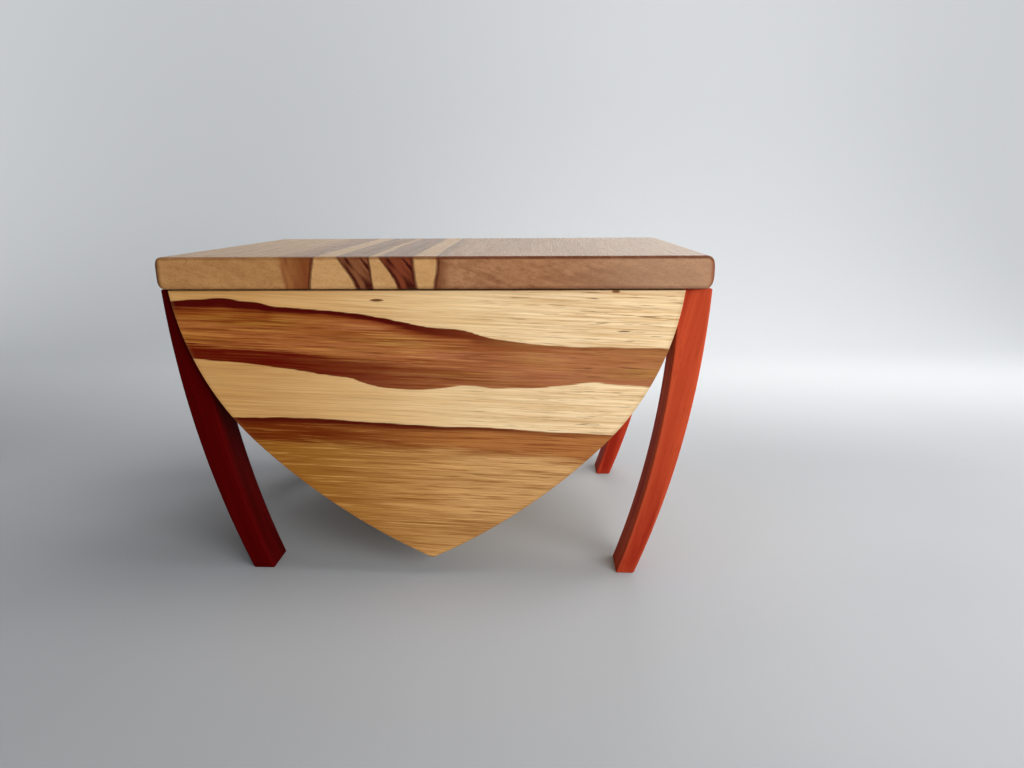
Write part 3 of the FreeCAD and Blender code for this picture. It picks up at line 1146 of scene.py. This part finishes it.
@dataclass
class FrontPanel:
    """The pointed front panel: its outline carried through the thickness, with rounded arrises."""

    hull: HullForm
    face_y: float = -PANEL_FACE
    thickness: float = 5.0 * MM
    shift: float = -4.3 * MM
    arris: float = 0.5 * MM
    back_arris: float = 0.15 * MM
    fade: float = 0.05 * MM
    fade_wear: float = 0.6
    back_wear: float = 0.3
    wear_reach: float = 2.5 * MM
    steps: int = 6

    def build(self) -> bpy.types.Object:
        """Each ring is the outline moved in by an inset at a depth; both follow a quarter turn at an arris.

        Returns:
            The panel.
        """
        turn = quarter(self.steps)
        arris, back, reach = self.arris, self.back_arris, self.wear_reach
        insets = np.r_[reach, arris + self.fade, arris * (1 - np.sin(turn)), 0, 0,
                       back * (1 - np.cos(turn)), reach]
        depths = np.r_[0, 0, arris * (1 - np.cos(turn)), reach, self.thickness - reach / 2,
                       self.thickness - back * (1 - np.sin(turn)), self.thickness]
        worn = np.r_[0, self.fade_wear, np.ones(self.steps), 0, 0, np.full(self.steps, self.back_wear), 0]
        halves = np.stack([self.hull.half(inset, inset, rounded=True) for inset in insets])
        left = halves[:, -2::-1] * (-1.0, 1.0)
        outline = np.concatenate([halves, left], 1)
        y = np.broadcast_to((self.face_y + depths)[:, None], outline.shape[:2])
        rings = np.stack([outline[..., 0] + self.shift, y, outline[..., 1]], -1)
        return closed_surface("front_panel_surface", rings, wear=worn[:, None])


@dataclass
class Leg:
    """A tapered, bowed leg: a rounded rectangle carried up between two bowed edges, pared at the top."""

    hull: HullForm
    side: Side
    end: End
    top_x: Pair = (133.5 * MM, LID_END)
    foot_x: Pair = (104.5 * MM, 115.2 * MM)
    wide_foot_extra: float = 2.0 * MM
    depth: Pair = (LEG_BACK, FORMER_FACE)
    bow: float = 7.0 * MM
    corner: float = 1.0 * MM
    foot_round: float = 0.6 * MM
    top_ease: float = 0.2 * MM
    shoulder_height: float = 21.0 * MM
    side_reveal: float = SIDE_INSET
    wear_reach: float = 2.5 * MM
    levels: int = 64
    shoulder_levels: int = 8
    corner_steps: int = 5

    @property
    def name(self) -> str:
        """The CAD node's name."""
        return f"leg_{self.end.name.lower()}_{self.side.name.lower()}"

    def edge(self, top_x: float, foot_x: float, z: np.ndarray) -> np.ndarray:
        """A circular arc from top to foot that bows outwards from its chord.

        Args:
            top_x: the X of the arc at the rim.
            foot_x: its X at the floor.
            z: heights.

        Returns:
            Its X at each height: the centre's, plus the root of the radius squared less the rise squared.
        """
        top = np.array((top_x, self.hull.rim))
        chord = np.array((foot_x, 0.0)) - top
        length = math.hypot(*chord)
        outward = np.array((-chord[1], chord[0])) / length
        radius = (length ** 2 / 4 + self.bow ** 2) / (2 * self.bow)
        centre = top + chord / 2 + outward * (self.bow - radius)
        return centre[0] + np.sqrt(radius ** 2 - (z - centre[1]) ** 2)

    def build(self) -> bpy.types.Object:
        """At each height, the half sizes of the leg less a corner radius, plus that radius round a full turn.

        A flat on either side of each corner slides along the face, so that wear fades out there.

        Returns:
            The leg.
        """
        turn, rim = quarter(self.corner_steps), self.hull.rim
        ledge, ease = rim - self.shoulder_height, self.top_ease
        low = self.foot_round * (1 - np.cos(turn))
        body = np.linspace(self.foot_round, ledge, self.levels)[1:]
        z = np.r_[low, body, np.linspace(ledge, rim - ease, self.shoulder_levels), rim]
        straight = np.zeros(len(body) + self.shoulder_levels)
        shrink = np.r_[self.foot_round * (1 - np.sin(turn)), straight, ease]
        outer = self.edge(self.top_x[1], self.foot_x[1], z) - shrink
        extra = self.wide_foot_extra if (self.side, self.end) == (Side.LEFT, End.FRONT) else 0.0
        inner = self.edge(self.top_x[0], self.foot_x[0] - extra, z) + shrink
        pared = np.arange(len(z)) >= len(low) + len(body)
        inner = np.where(pared, self.hull.x_at(z, self.side_reveal) + shrink, inner)
        near, far = self.depth[0] + shrink, self.depth[1] - shrink
        flat = self.wear_reach - self.corner
        angle = np.concatenate([np.r_[0.0, turn, math.pi / 2] + corner * math.pi / 2 for corner in range(4)])
        slide = np.tile(np.r_[-flat, np.zeros(len(turn)), flat], 4)
        worn = np.tile(np.r_[0.0, np.ones(len(turn)), 0.0], 4)
        sign_x = np.repeat((1, -1, -1, 1), len(turn) + 2)
        sign_y = np.repeat((1, 1, -1, -1), len(turn) + 2)
        half_x, half_y = ((most - least)[:, None] / 2 for most, least in ((outer, inner), (far, near)))
        x = (outer + inner)[:, None] / 2 + sign_x * (half_x - self.corner)
        y = (far + near)[:, None] / 2 + sign_y * (half_y - self.corner)
        x = x + self.corner * np.cos(angle) - slide * np.sin(angle)
        y = y + self.corner * np.sin(angle) + slide * np.cos(angle)
        level = np.broadcast_to(z[:, None], x.shape)
        rings = np.stack([x * self.side.value, y * self.end.value, level], -1)
        foot = np.exp(-z / self.wear_reach)[:, None]
        return closed_surface(f"{self.name}_surface", rings, wear=np.maximum(worn, foot))


@dataclass
class Rail:
    """A rail between two legs: a section with eased outer edges and a back bent to the hull."""

    hull: HullForm
    side: Side
    outer_x: float = 142.0 * MM
    half_length: float = LEG_BACK
    height: float = 28.0 * MM
    ease: float = 1.2 * MM
    side_reveal: float = SIDE_INSET
    ease_steps: int = 6
    back_steps: int = 12
    stations: int = 9

    def build(self) -> bpy.types.Object:
        """The section, carried along Y: outer corners are quarter turns, and the back is the hull line.

        Returns:
            The rail.
        """
        turn, rim = quarter(self.ease_steps), self.hull.rim
        low = rim - self.height
        small, large = self.ease * (1 - np.cos(turn)), self.ease * (1 - np.sin(turn))
        lower = np.stack([self.outer_x - large, low + small], -1)
        upper = np.stack([self.outer_x - small, rim - large], -1)
        back = np.linspace(rim, low, self.back_steps)
        inner = np.stack([self.hull.x_at(back, self.side_reveal), back], -1)
        section = np.concatenate([lower, upper, inner])
        rings = carried(section, np.linspace(-self.half_length, self.half_length, self.stations), self.side)
        worn = np.r_[np.ones(len(lower) + len(upper)), np.zeros(len(inner))]
        return closed_surface(f"{self.side.name.lower()}_rail_surface", rings, wear=worn[None, :])


@dataclass
class BentSide:
    """A thin ply side bent along the hull: its section carried down the outline from rim to keel."""

    hull: HullForm
    side: Side
    insets: Pair = (SIDE_INSET, SIDE_INSET + 3.0 * MM)
    half_depth: float = FORMER_FACE
    steps: int = 5

    def build(self) -> bpy.types.Object:
        """Each ring joins the outline at the outer inset to the outline at the inner one, from front to rear.

        Returns:
            The side.
        """
        outer, inner = (self.hull.half(inset) for inset in self.insets)
        y = np.linspace(-self.half_depth, self.half_depth, self.steps)
        within = np.repeat((0.0, 1.0), self.steps)
        share = within[None, :, None]
        place = outer[:, None] * (1 - share) + inner[:, None] * share
        depth = np.broadcast_to(np.r_[y, y[::-1]], place.shape[:2])
        rings = np.stack([place[..., 0] * self.side.value, depth, place[..., 1]], -1)
        return closed_surface(f"{self.side.name.lower()}_side_surface", rings, layer=within[None, :])


@dataclass
class LidBoard:
    """One board of the lid: its section carried along X, drawn in at a rounded end and let in for a hinge."""

    label: str
    span: Pair
    slot: str
    shift: Triple = STILL
    rounded_end: Optional[Side] = None
    hinge_x: Optional[float] = None
    front_y: float = LID_FRONT
    rear_y: float = -LID_FRONT
    low_z: float = 170.029 * MM
    high_z: float = LID_TOP
    end_round: float = 5.5 * MM
    corner_round: float = 4.5 * MM
    ease: float = 1.0 * MM
    stop_bevel: float = 3.0 * MM
    hinge_half: float = 19.2 * MM
    leaf_front: float = 77.95 * MM
    leaf_top: float = 170.929 * MM
    pocket: float = 2.4 * MM
    pocket_from: Pair = (93.485 * MM, 171.514 * MM)
    pocket_to: float = 89.98 * MM
    wear_reach: float = 2.5 * MM
    bevel_wear: float = 0.3
    ease_growth: float = 0.25
    ease_most: float = 0.3
    reach_most: float = 0.45
    end_clear: float = 1.5
    step_gap: float = 1e-6
    plain_stations: int = 13
    end_stations: int = 12
    ease_steps: int = 6
    pocket_steps: int = 9

    def stations(self) -> np.ndarray:
        """Places along X, close at the rounded end and doubled where the hinge's recess starts and stops.

        Returns:
            The places in order.
        """
        start, stop = self.span
        x = np.linspace(start, stop, self.plain_stations)
        bend = self.end_round * (1 - np.cos(quarter(self.end_stations)))
        if self.rounded_end is Side.LEFT:
            x = np.r_[start + bend, x[x > start + self.end_clear * self.end_round]]
        if self.rounded_end is Side.RIGHT:
            x = np.r_[x[x < stop - self.end_clear * self.end_round], stop - bend[::-1]]
        if self.hinge_x is not None:
            sides = self.hinge_x + self.hinge_half * np.array((-1.0, -1.0, 1.0, 1.0))
            x = np.r_[x, sides + self.step_gap * np.array((-1.0, 0.0, 0.0, 1.0))]
        return np.sort(x)

    def from_end(self, x: np.ndarray) -> np.ndarray:
        """Distance to the rounded end, or no end at all where both ends are square."""
        if self.rounded_end is None:
            return np.full(len(x), np.inf)
        return np.abs(self.span[0 if self.rounded_end is Side.LEFT else 1] - x)

    @staticmethod
    def drawn(radius: float, away: np.ndarray) -> np.ndarray:
        """How far a quarter round draws a face in: r less the root of r squared less the rest squared."""
        return radius - np.sqrt(radius ** 2 - np.clip(radius - away, 0, None) ** 2)

    def recess(self) -> tuple[np.ndarray, np.ndarray]:
        """The hinge's recess: the barrel's pocket as an arc about the axis, then the corners of the leaf.

        Returns:
            The Y and the Z of its outline, from the bevel forwards.
        """
        start = math.atan2(self.pocket_from[1] - AXIS_Z, self.pocket_from[0] - AXIS_Y)
        stop = math.atan2(self.leaf_top - AXIS_Z, self.pocket_to - AXIS_Y)
        sweep = np.linspace(start, stop, self.pocket_steps)
        y = np.r_[AXIS_Y + self.pocket * np.cos(sweep), self.leaf_front, self.leaf_front]
        z = np.r_[AXIS_Z + self.pocket * np.sin(sweep), self.leaf_top, self.low_z]
        return y, z

    def build(self) -> bpy.types.Object:
        """The section at x: a box drawn in at the rounded end and corners, with eased edges and a rear bevel.

        Returns:
            The board.
        """
        x = self.stations()
        away = self.from_end(x)
        draw_z, draw_y = self.drawn(self.end_round, away), self.drawn(self.corner_round, away)
        front, rear = (self.front_y + draw_y)[:, None], (self.rear_y - draw_y)[:, None]
        low, high = (self.low_z + draw_z)[:, None], (self.high_z - draw_z)[:, None]
        ease = (self.ease + self.ease_growth * (draw_y + draw_z))[:, None]
        ease = np.minimum(ease, self.ease_most * (high - low))
        bevel = np.maximum((self.stop_bevel - draw_y - draw_z)[:, None], ease)
        reach = np.clip(self.wear_reach, ease, self.reach_most * (high - low))
        turn = quarter(self.ease_steps)
        large, small = ease * (1 - np.sin(turn)), ease * (1 - np.cos(turn))
        let_in = np.zeros((len(x), 1), bool)
        if self.hinge_x is not None:
            let_in = (np.abs(x - self.hinge_x) < self.hinge_half + self.step_gap / 2)[:, None]
        cut_y, cut_z = self.recess()
        plain_y = np.minimum(cut_y, rear)
        plain_z = low + np.clip(plain_y - (rear - bevel), 0.0, None)
        outline = (
            (front + large, low + small, 1.0),
            (front, low + reach, 0.0),
            (front, high - reach, 0.0),
            (front + small, high - large, 1.0),
            (front + reach, high, 0.0),
            (rear - reach, high, 0.0),
            (rear - large, high - small, 1.0),
            (rear, high - reach, 0.0),
            (rear, low + bevel, self.bevel_wear),
            (np.where(let_in, cut_y, plain_y), np.where(let_in, cut_z, plain_z), 0.0),
            (front + reach, low, 0.0),
        )
        y = np.concatenate([part_y for part_y, _, _ in outline], 1)
        z = np.concatenate([part_z for _, part_z, _ in outline], 1)
        worn = np.concatenate([np.full(part_y.shape[1], wear) for part_y, _, wear in outline])
        rings = np.stack([np.broadcast_to(x[:, None], y.shape), y, z], -1)
        ends = np.exp(-away / self.wear_reach)[:, None]
        return closed_surface(f"lid_{self.label}_surface", rings, wear=np.maximum(worn, ends))


@dataclass
class SlottedScrews:
    """Countersunk screws with slotted heads, all on one face of the hinges."""

    label: str
    face: Facing
    seat_gap: float = 0.05 * MM
    seat_y: float = 84.0 * MM
    seat_x: tuple[float, ...] = (-101.0 * MM, -79.0 * MM, 79.0 * MM, 101.0 * MM)
    head: float = 2.0 * MM
    head_height: float = 0.9 * MM
    head_shares: tuple[float, ...] = (0.3, 0.5, 0.75, 0.95, 1.0)
    head_drops: tuple[float, ...] = (0.0, 0.0, 0.0, 0.01 * MM, 0.06 * MM)
    shank: float = 1.1 * MM
    tip_share: float = 0.2
    length: float = 9.0 * MM
    slot_half: float = 0.22 * MM
    slot_depth: float = 0.5 * MM
    slot_columns: int = 3
    land_columns: int = 11
    turn_step: float = 0.6

    def screw(self, index: int) -> np.ndarray:
        """One screw: a profile of radius and depth turned about Z, with its slot columns sunk into the head.

        Args:
            index: which of the seats it stands in.

        Returns:
            Rings from the middle of the head to the tip.
        """
        share = np.array(self.head_shares)
        sunk = 1.0 - self.slot_depth / self.head_height * (1.0 - self.shank / self.head)
        below = np.array((self.shank, self.shank, self.tip_share * self.shank))
        depth = np.array((self.head_height, self.length - 2 * self.shank, self.length))
        land_radius = np.r_[share * self.head, below]
        land_depth = np.r_[self.head_drops, depth]
        slot_radius = np.r_[share * self.head * sunk, below]
        slot_depth = np.r_[np.full(len(share), self.slot_depth), depth]
        slot_edge, land_edge = (np.arcsin(np.clip(self.slot_half / radius, 0, 0.99))[:, None]
                                for radius in (slot_radius, land_radius))
        slot_angle = slot_edge * np.linspace(-1, 1, self.slot_columns)
        land_angle = land_edge + (math.pi - 2 * land_edge) * np.linspace(0, 1, self.land_columns)
        half_angle = np.concatenate([slot_angle, land_angle], 1)
        angle = np.concatenate([half_angle, half_angle + math.pi], 1) + self.turn_step * index
        in_slot = np.tile(np.repeat((True, False), (self.slot_columns, self.land_columns)), 2)
        radius = np.where(in_slot, slot_radius[:, None], land_radius[:, None])
        z = np.where(in_slot, slot_depth[:, None], land_depth[:, None])
        x = self.seat_x[index] + radius * np.cos(angle)
        y = self.seat_y + radius * np.sin(angle)
        return np.stack([x, y, AXIS_Z - self.face.value * (self.seat_gap + z)], -1)

    def build(self) -> bpy.types.Object:
        """All screws joined into one piece.

        Returns:
            The set of screws.
        """
        made = [closed_surface(f"hinge_{self.label}_screw_{index}", self.screw(index))
                for index in range(len(self.seat_x))]
        work = bmesh.new()
        for piece in made:
            work.from_mesh(piece.data)
        mesh = made[0].data
        work.to_mesh(mesh)
        work.free()
        shade(mesh)
        for piece in made[1:]:
            bpy.data.objects.remove(piece)
        made[0].name = f"hinge_{self.label}_screw_set"
        return made[0]


@dataclass
class Body:
    """The fixed part of the box: panels, sides, legs, rails and what joins them.

    Each leg has its light, deep and worn colour; the front left one is much darker, partly darker wood and
    partly painted shade.
    """

    hull: HullForm
    name: str = "box"
    leg_lean: float = math.radians(12.0)
    leg_shift: Pair = (0.31, 0.17)
    leg_tones: tuple[tuple[End, Side, Colour, Colour, Colour], ...] = (
        # Front left leg: its colours are partly darker wood, partly painted shade.
        (End.FRONT, Side.LEFT, (80, 1, 1), (58, 0, 0), (78, 2, 2)),
        (End.FRONT, Side.RIGHT, (184, 72, 42), (146, 42, 24), (190, 84, 54)),
        (End.REAR, Side.LEFT, (166, 52, 32), (132, 32, 18), (176, 66, 42)),
        (End.REAR, Side.RIGHT, (170, 54, 34), (136, 34, 20), (176, 66, 42)),
    )
    rail_tones: tuple[Colour, Colour, Colour] = ((170, 54, 32), (136, 34, 20), (184, 70, 44))
    side_tones: tuple[Colour, Colour] = ((226, 194, 144), (206, 168, 114))
    former_tones: tuple[Colour, Colour] = ((222, 190, 142), (204, 166, 114))
    keel_tones: tuple[Colour, Colour] = ((206, 166, 112), (180, 138, 86))

    def build(self) -> None:
        """Builds and dresses the body's pieces."""
        veneer = FiguredVeneer().make()
        stand_in(FrontPanel(self.hull).build(), "front_panel", self.name, veneer)
        rear_veneer = FiguredVeneer("figured_veneer_rear", face_y=PANEL_FACE, mirrored=True)
        dress(["back_panel"], rear_veneer.make())
        self.legs()
        ply = PlainWood("bent_ply", *self.side_tones, Grain.ALONG_Y).make()
        rail_wood = RedHeartwood("red_heartwood_rail", *self.rail_tones, grain=Grain.ALONG_Y).make()
        for side in Side:
            label = side.name.lower()
            stand_in(BentSide(self.hull, side).build(), f"{label}_side", self.name, ply)
            stand_in(Rail(self.hull, side).build(), f"{label}_rail", self.name, rail_wood)
        for end, label in ((End.FRONT, "front"), (End.REAR, "back")):
            face_y = end.value * FORMER_FACE
            former = PlainWood(f"{label}_former_ply", *self.former_tones, Grain.ALONG_X, face_y)
            dress([f"{label}_former"], former.make())
        dress(["keel", "leg_tenons"], PlainWood("keel_hardwood", *self.keel_tones, Grain.ALONG_Y).make())

    def legs(self) -> None:
        """Builds and dresses the four legs."""
        for index, (end, side, *colours) in enumerate(self.leg_tones):
            leg = Leg(self.hull, side, end)
            shift = (self.leg_shift[0] * index, self.leg_shift[1] * index, 0.0)
            wood = RedHeartwood(f"red_heartwood_{index}", *colours, -side.value * self.leg_lean, shift)
            stand_in(leg.build(), leg.name, self.name, wood.make())


@dataclass
class Lid:
    """The moving lid: three boards glued edge to edge."""

    name: str = "lid"
    half_width: float = LID_END
    joints: Pair = (-66.5 * MM, 0.5 * MM)
    hinge_x: float = 90.0 * MM

    def build(self) -> None:
        """Builds and dresses the three boards."""
        (left, right), wide, hinge = self.joints, self.half_width, self.hinge_x
        boards = (
            LidBoard("left_board", (-wide, left), "brown_lid_wood", (0.0, 0.0, 0.0), Side.LEFT, -hinge),
            LidBoard("centre_board", (left, right), "streaked_lid_wood", (0.4, 0.3, 0.0)),
            LidBoard("right_board", (right, wide), "brown_lid_wood", (0.9, 0.6, 0.2), Side.RIGHT, hinge),
        )
        for board in boards:
            wood = LidWood(f"lid_wood_{board.label}", board.shift).make()
            stand_in(board.build(), f"lid_{board.label}", self.name, wood)


@dataclass
class Hinges:
    """The two brass hinges: leaves and pins from the CAD, and slotted screws.

    Each set of screws has its label, the way its heads face and the body that carries it.
    """

    finish: WornBrass = WornBrass()
    screw_sets: tuple[tuple[str, Facing, str], ...] = (
        ("body", Facing.UP, "box"), ("lid", Facing.DOWN, "lid"))

    def build(self) -> None:
        """Dresses the leaves and pins, and builds the screws."""
        brass = self.finish.make()
        dress([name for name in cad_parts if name.startswith("hinge") and "screws" not in name], brass)
        for label, face, body in self.screw_sets:
            stand_in(SlottedScrews(label, face).build(), f"hinge_{label}_screws", body, brass)


@dataclass(frozen=True)
class Lamp:
    """A soft rectangular lamp: its place, what it faces, its width and height, power and spread."""

    name: str
    place: Triple
    aim: Triple
    size: Pair
    watts: float
    spread: float = math.pi
    tint: Triple = (1.0, 0.98, 0.95)

    def build(self) -> None:
        """Hangs the lamp."""
        data = bpy.data.lights.new(self.name, "AREA")
        data.shape = "RECTANGLE"
        data.size, data.size_y = self.size
        data.energy, data.color, data.spread = self.watts, self.tint, self.spread
        made = placed(self.name, data)
        made.location = self.place
        made.rotation_euler = (Vector(self.aim) - Vector(self.place)).to_track_quat("-Z", "Y").to_euler()


@dataclass
class Studio:
    """A plain pale floor that turns up into a backdrop, soft light from the right, and the camera."""

    floor_colour: Colour = (160, 163, 167)
    wall_painted_paler: Colour = (202, 205, 208)
    cloud_colour: Colour = (196, 200, 206)
    clouds: Pattern = Pattern((3, 3, 3), cut=(0.3, 0.7))
    sky: tuple[float, float, float, float] = (0.93, 0.96, 1.0, 1.0)
    sky_level: float = 0.24
    pale_level: float = 0.62
    turn_reach: Pair = (0.08, 0.45)
    fade_reach: Pair = (0.55, 1.6)
    floor_front: float = -6.0
    wall_y: float = 0.95
    wall_round: float = 0.4
    wall_top: float = 2.4
    half_width: float = 8.0
    round_steps: int = 24
    lamps: tuple[Lamp, ...] = (
        Lamp("key", (0.66, -0.80, 0.40), (0.0, -0.02, 0.10), (0.7, 0.5), 9.9),
        Lamp("side", (0.95, 0.15, 0.42), (0.05, -0.06, 0.0), (0.8, 0.5), 2.6),
        Lamp("wall", (0.6, 0.1, 1.1), (0.1, 0.95, 0.5), (0.9, 0.9), 11.5),
        Lamp("rear", (0.2, 0.80, 0.75), (0.0, 0.0, 0.10), (0.6, 0.6), 1.5, math.radians(110.0)),
    )
    focal_pixels: float = 700.0
    image_width: int = 1024
    sensor_width: float = 36.0
    clip_start: float = 0.01
    camera_place: Triple = (0.0596831, -0.4683693, 0.2150292)
    camera_right: Triple = (0.9991038, 0.0418244, -0.0065041)
    camera_up: Triple = (-0.0042388, 0.2517565, 0.9677813)

    def floor(self) -> None:
        """The floor and backdrop: a flat, quarter-round and upright profile carried along X."""
        turn = quarter(self.round_steps)
        bend = self.wall_y - self.wall_round * (1 - np.sin(turn))
        y = np.r_[self.floor_front, bend, self.wall_y]
        z = np.r_[0.0, self.wall_round * (1 - np.cos(turn)), self.wall_top]
        x = np.array((-self.half_width, self.half_width))
        points = np.stack(np.broadcast_arrays(x[:, None], y[None, :], z[None, :]), -1)
        count = len(y)
        start = np.arange(count - 1)
        faces = np.c_[start, start + count, start + count + 1, start + 1]
        mesh = bpy.data.meshes.new("backdrop")
        mesh.from_pydata(points.reshape(-1, 3).tolist(), [], faces.tolist())
        mesh.shade_smooth()
        mesh.materials.append(self.paper())
        made = placed("backdrop", mesh)

    def paper(self) -> bpy.types.Material:
        """The backdrop's material.

        Returns:
            A matt grey that catches the shadow, painted paler up the wall to stand in for the wall's brighter
            light, and fades to a pale glow far off where the camera sees it.
        """
        s = NodeSheet("pale_paper")
        # Painted light: the sweep is paler up the wall than on the floor, for the wall's brighter light.
        grey = s.mix(s.step(s.y, *self.turn_reach), self.floor_colour, self.wall_painted_paler)
        grey = s.coats(grey, (self.clouds.share(s), 0.15, self.cloud_colour))
        distance = s.node("ShaderNodeVectorMath", {0: s.place}, operation="LENGTH").outputs["Value"]
        seen = s.node("ShaderNodeLightPath", {}).outputs["Is Camera Ray"]
        far = s.times(seen, s.step(distance, *self.fade_reach))
        grey = s.mix(far, grey, (0, 0, 0))
        glow = s.times(far, self.pale_level)
        return s.surface(grey, 0.9, Emission_Color=self.sky, Emission_Strength=glow)

    def light(self) -> None:
        """Soft daylight all round, paler where it is seen, and lamps, the strongest on the right."""
        world = bpy.data.worlds.new("daylight")
        world.use_nodes = True
        tree = world.node_tree
        path = tree.nodes.new("ShaderNodeLightPath")
        seen = tree.nodes.new("ShaderNodeMath")
        level = tree.nodes.new("ShaderNodeMapRange")
        level.inputs["To Min"].default_value = self.sky_level
        level.inputs["To Max"].default_value = self.pale_level
        backing = tree.nodes["Background"]
        backing.inputs["Color"].default_value = self.sky
        for index, ray in enumerate(("Is Camera Ray", "Is Glossy Ray")):
            tree.links.new(path.outputs[ray], seen.inputs[index])
        tree.links.new(seen.outputs[0], level.inputs["Value"])
        tree.links.new(level.outputs[0], backing.inputs["Strength"])
        bpy.context.scene.world = world
        for lamp in self.lamps:
            lamp.build()

    def camera(self) -> None:
        """The camera at the photograph's place, with the lens that gives its focal length in pixels."""
        data = bpy.data.cameras.new("camera")
        data.sensor_width = self.sensor_width
        data.lens = self.focal_pixels * self.sensor_width / self.image_width
        data.clip_start = self.clip_start
        made = placed("camera", data)
        right, up = Vector(self.camera_right), Vector(self.camera_up)
        turn = Matrix((right, up, right.cross(up))).transposed()
        made.matrix_world = Matrix.Translation(self.camera_place) @ turn.to_4x4()
        bpy.context.scene.camera = made

    def build(self) -> None:
        """Sets up floor, light, camera and plain view settings."""
        self.floor()
        self.light()
        self.camera()
        bpy.context.scene.view_settings.view_transform = "Standard"


def main() -> None:
    """Builds the box's looks, the light and the camera."""
    Body(HullForm()).build()
    Lid().build()
    Hinges().build()
    Studio().build()


if __name__ == "__main__":
    main()
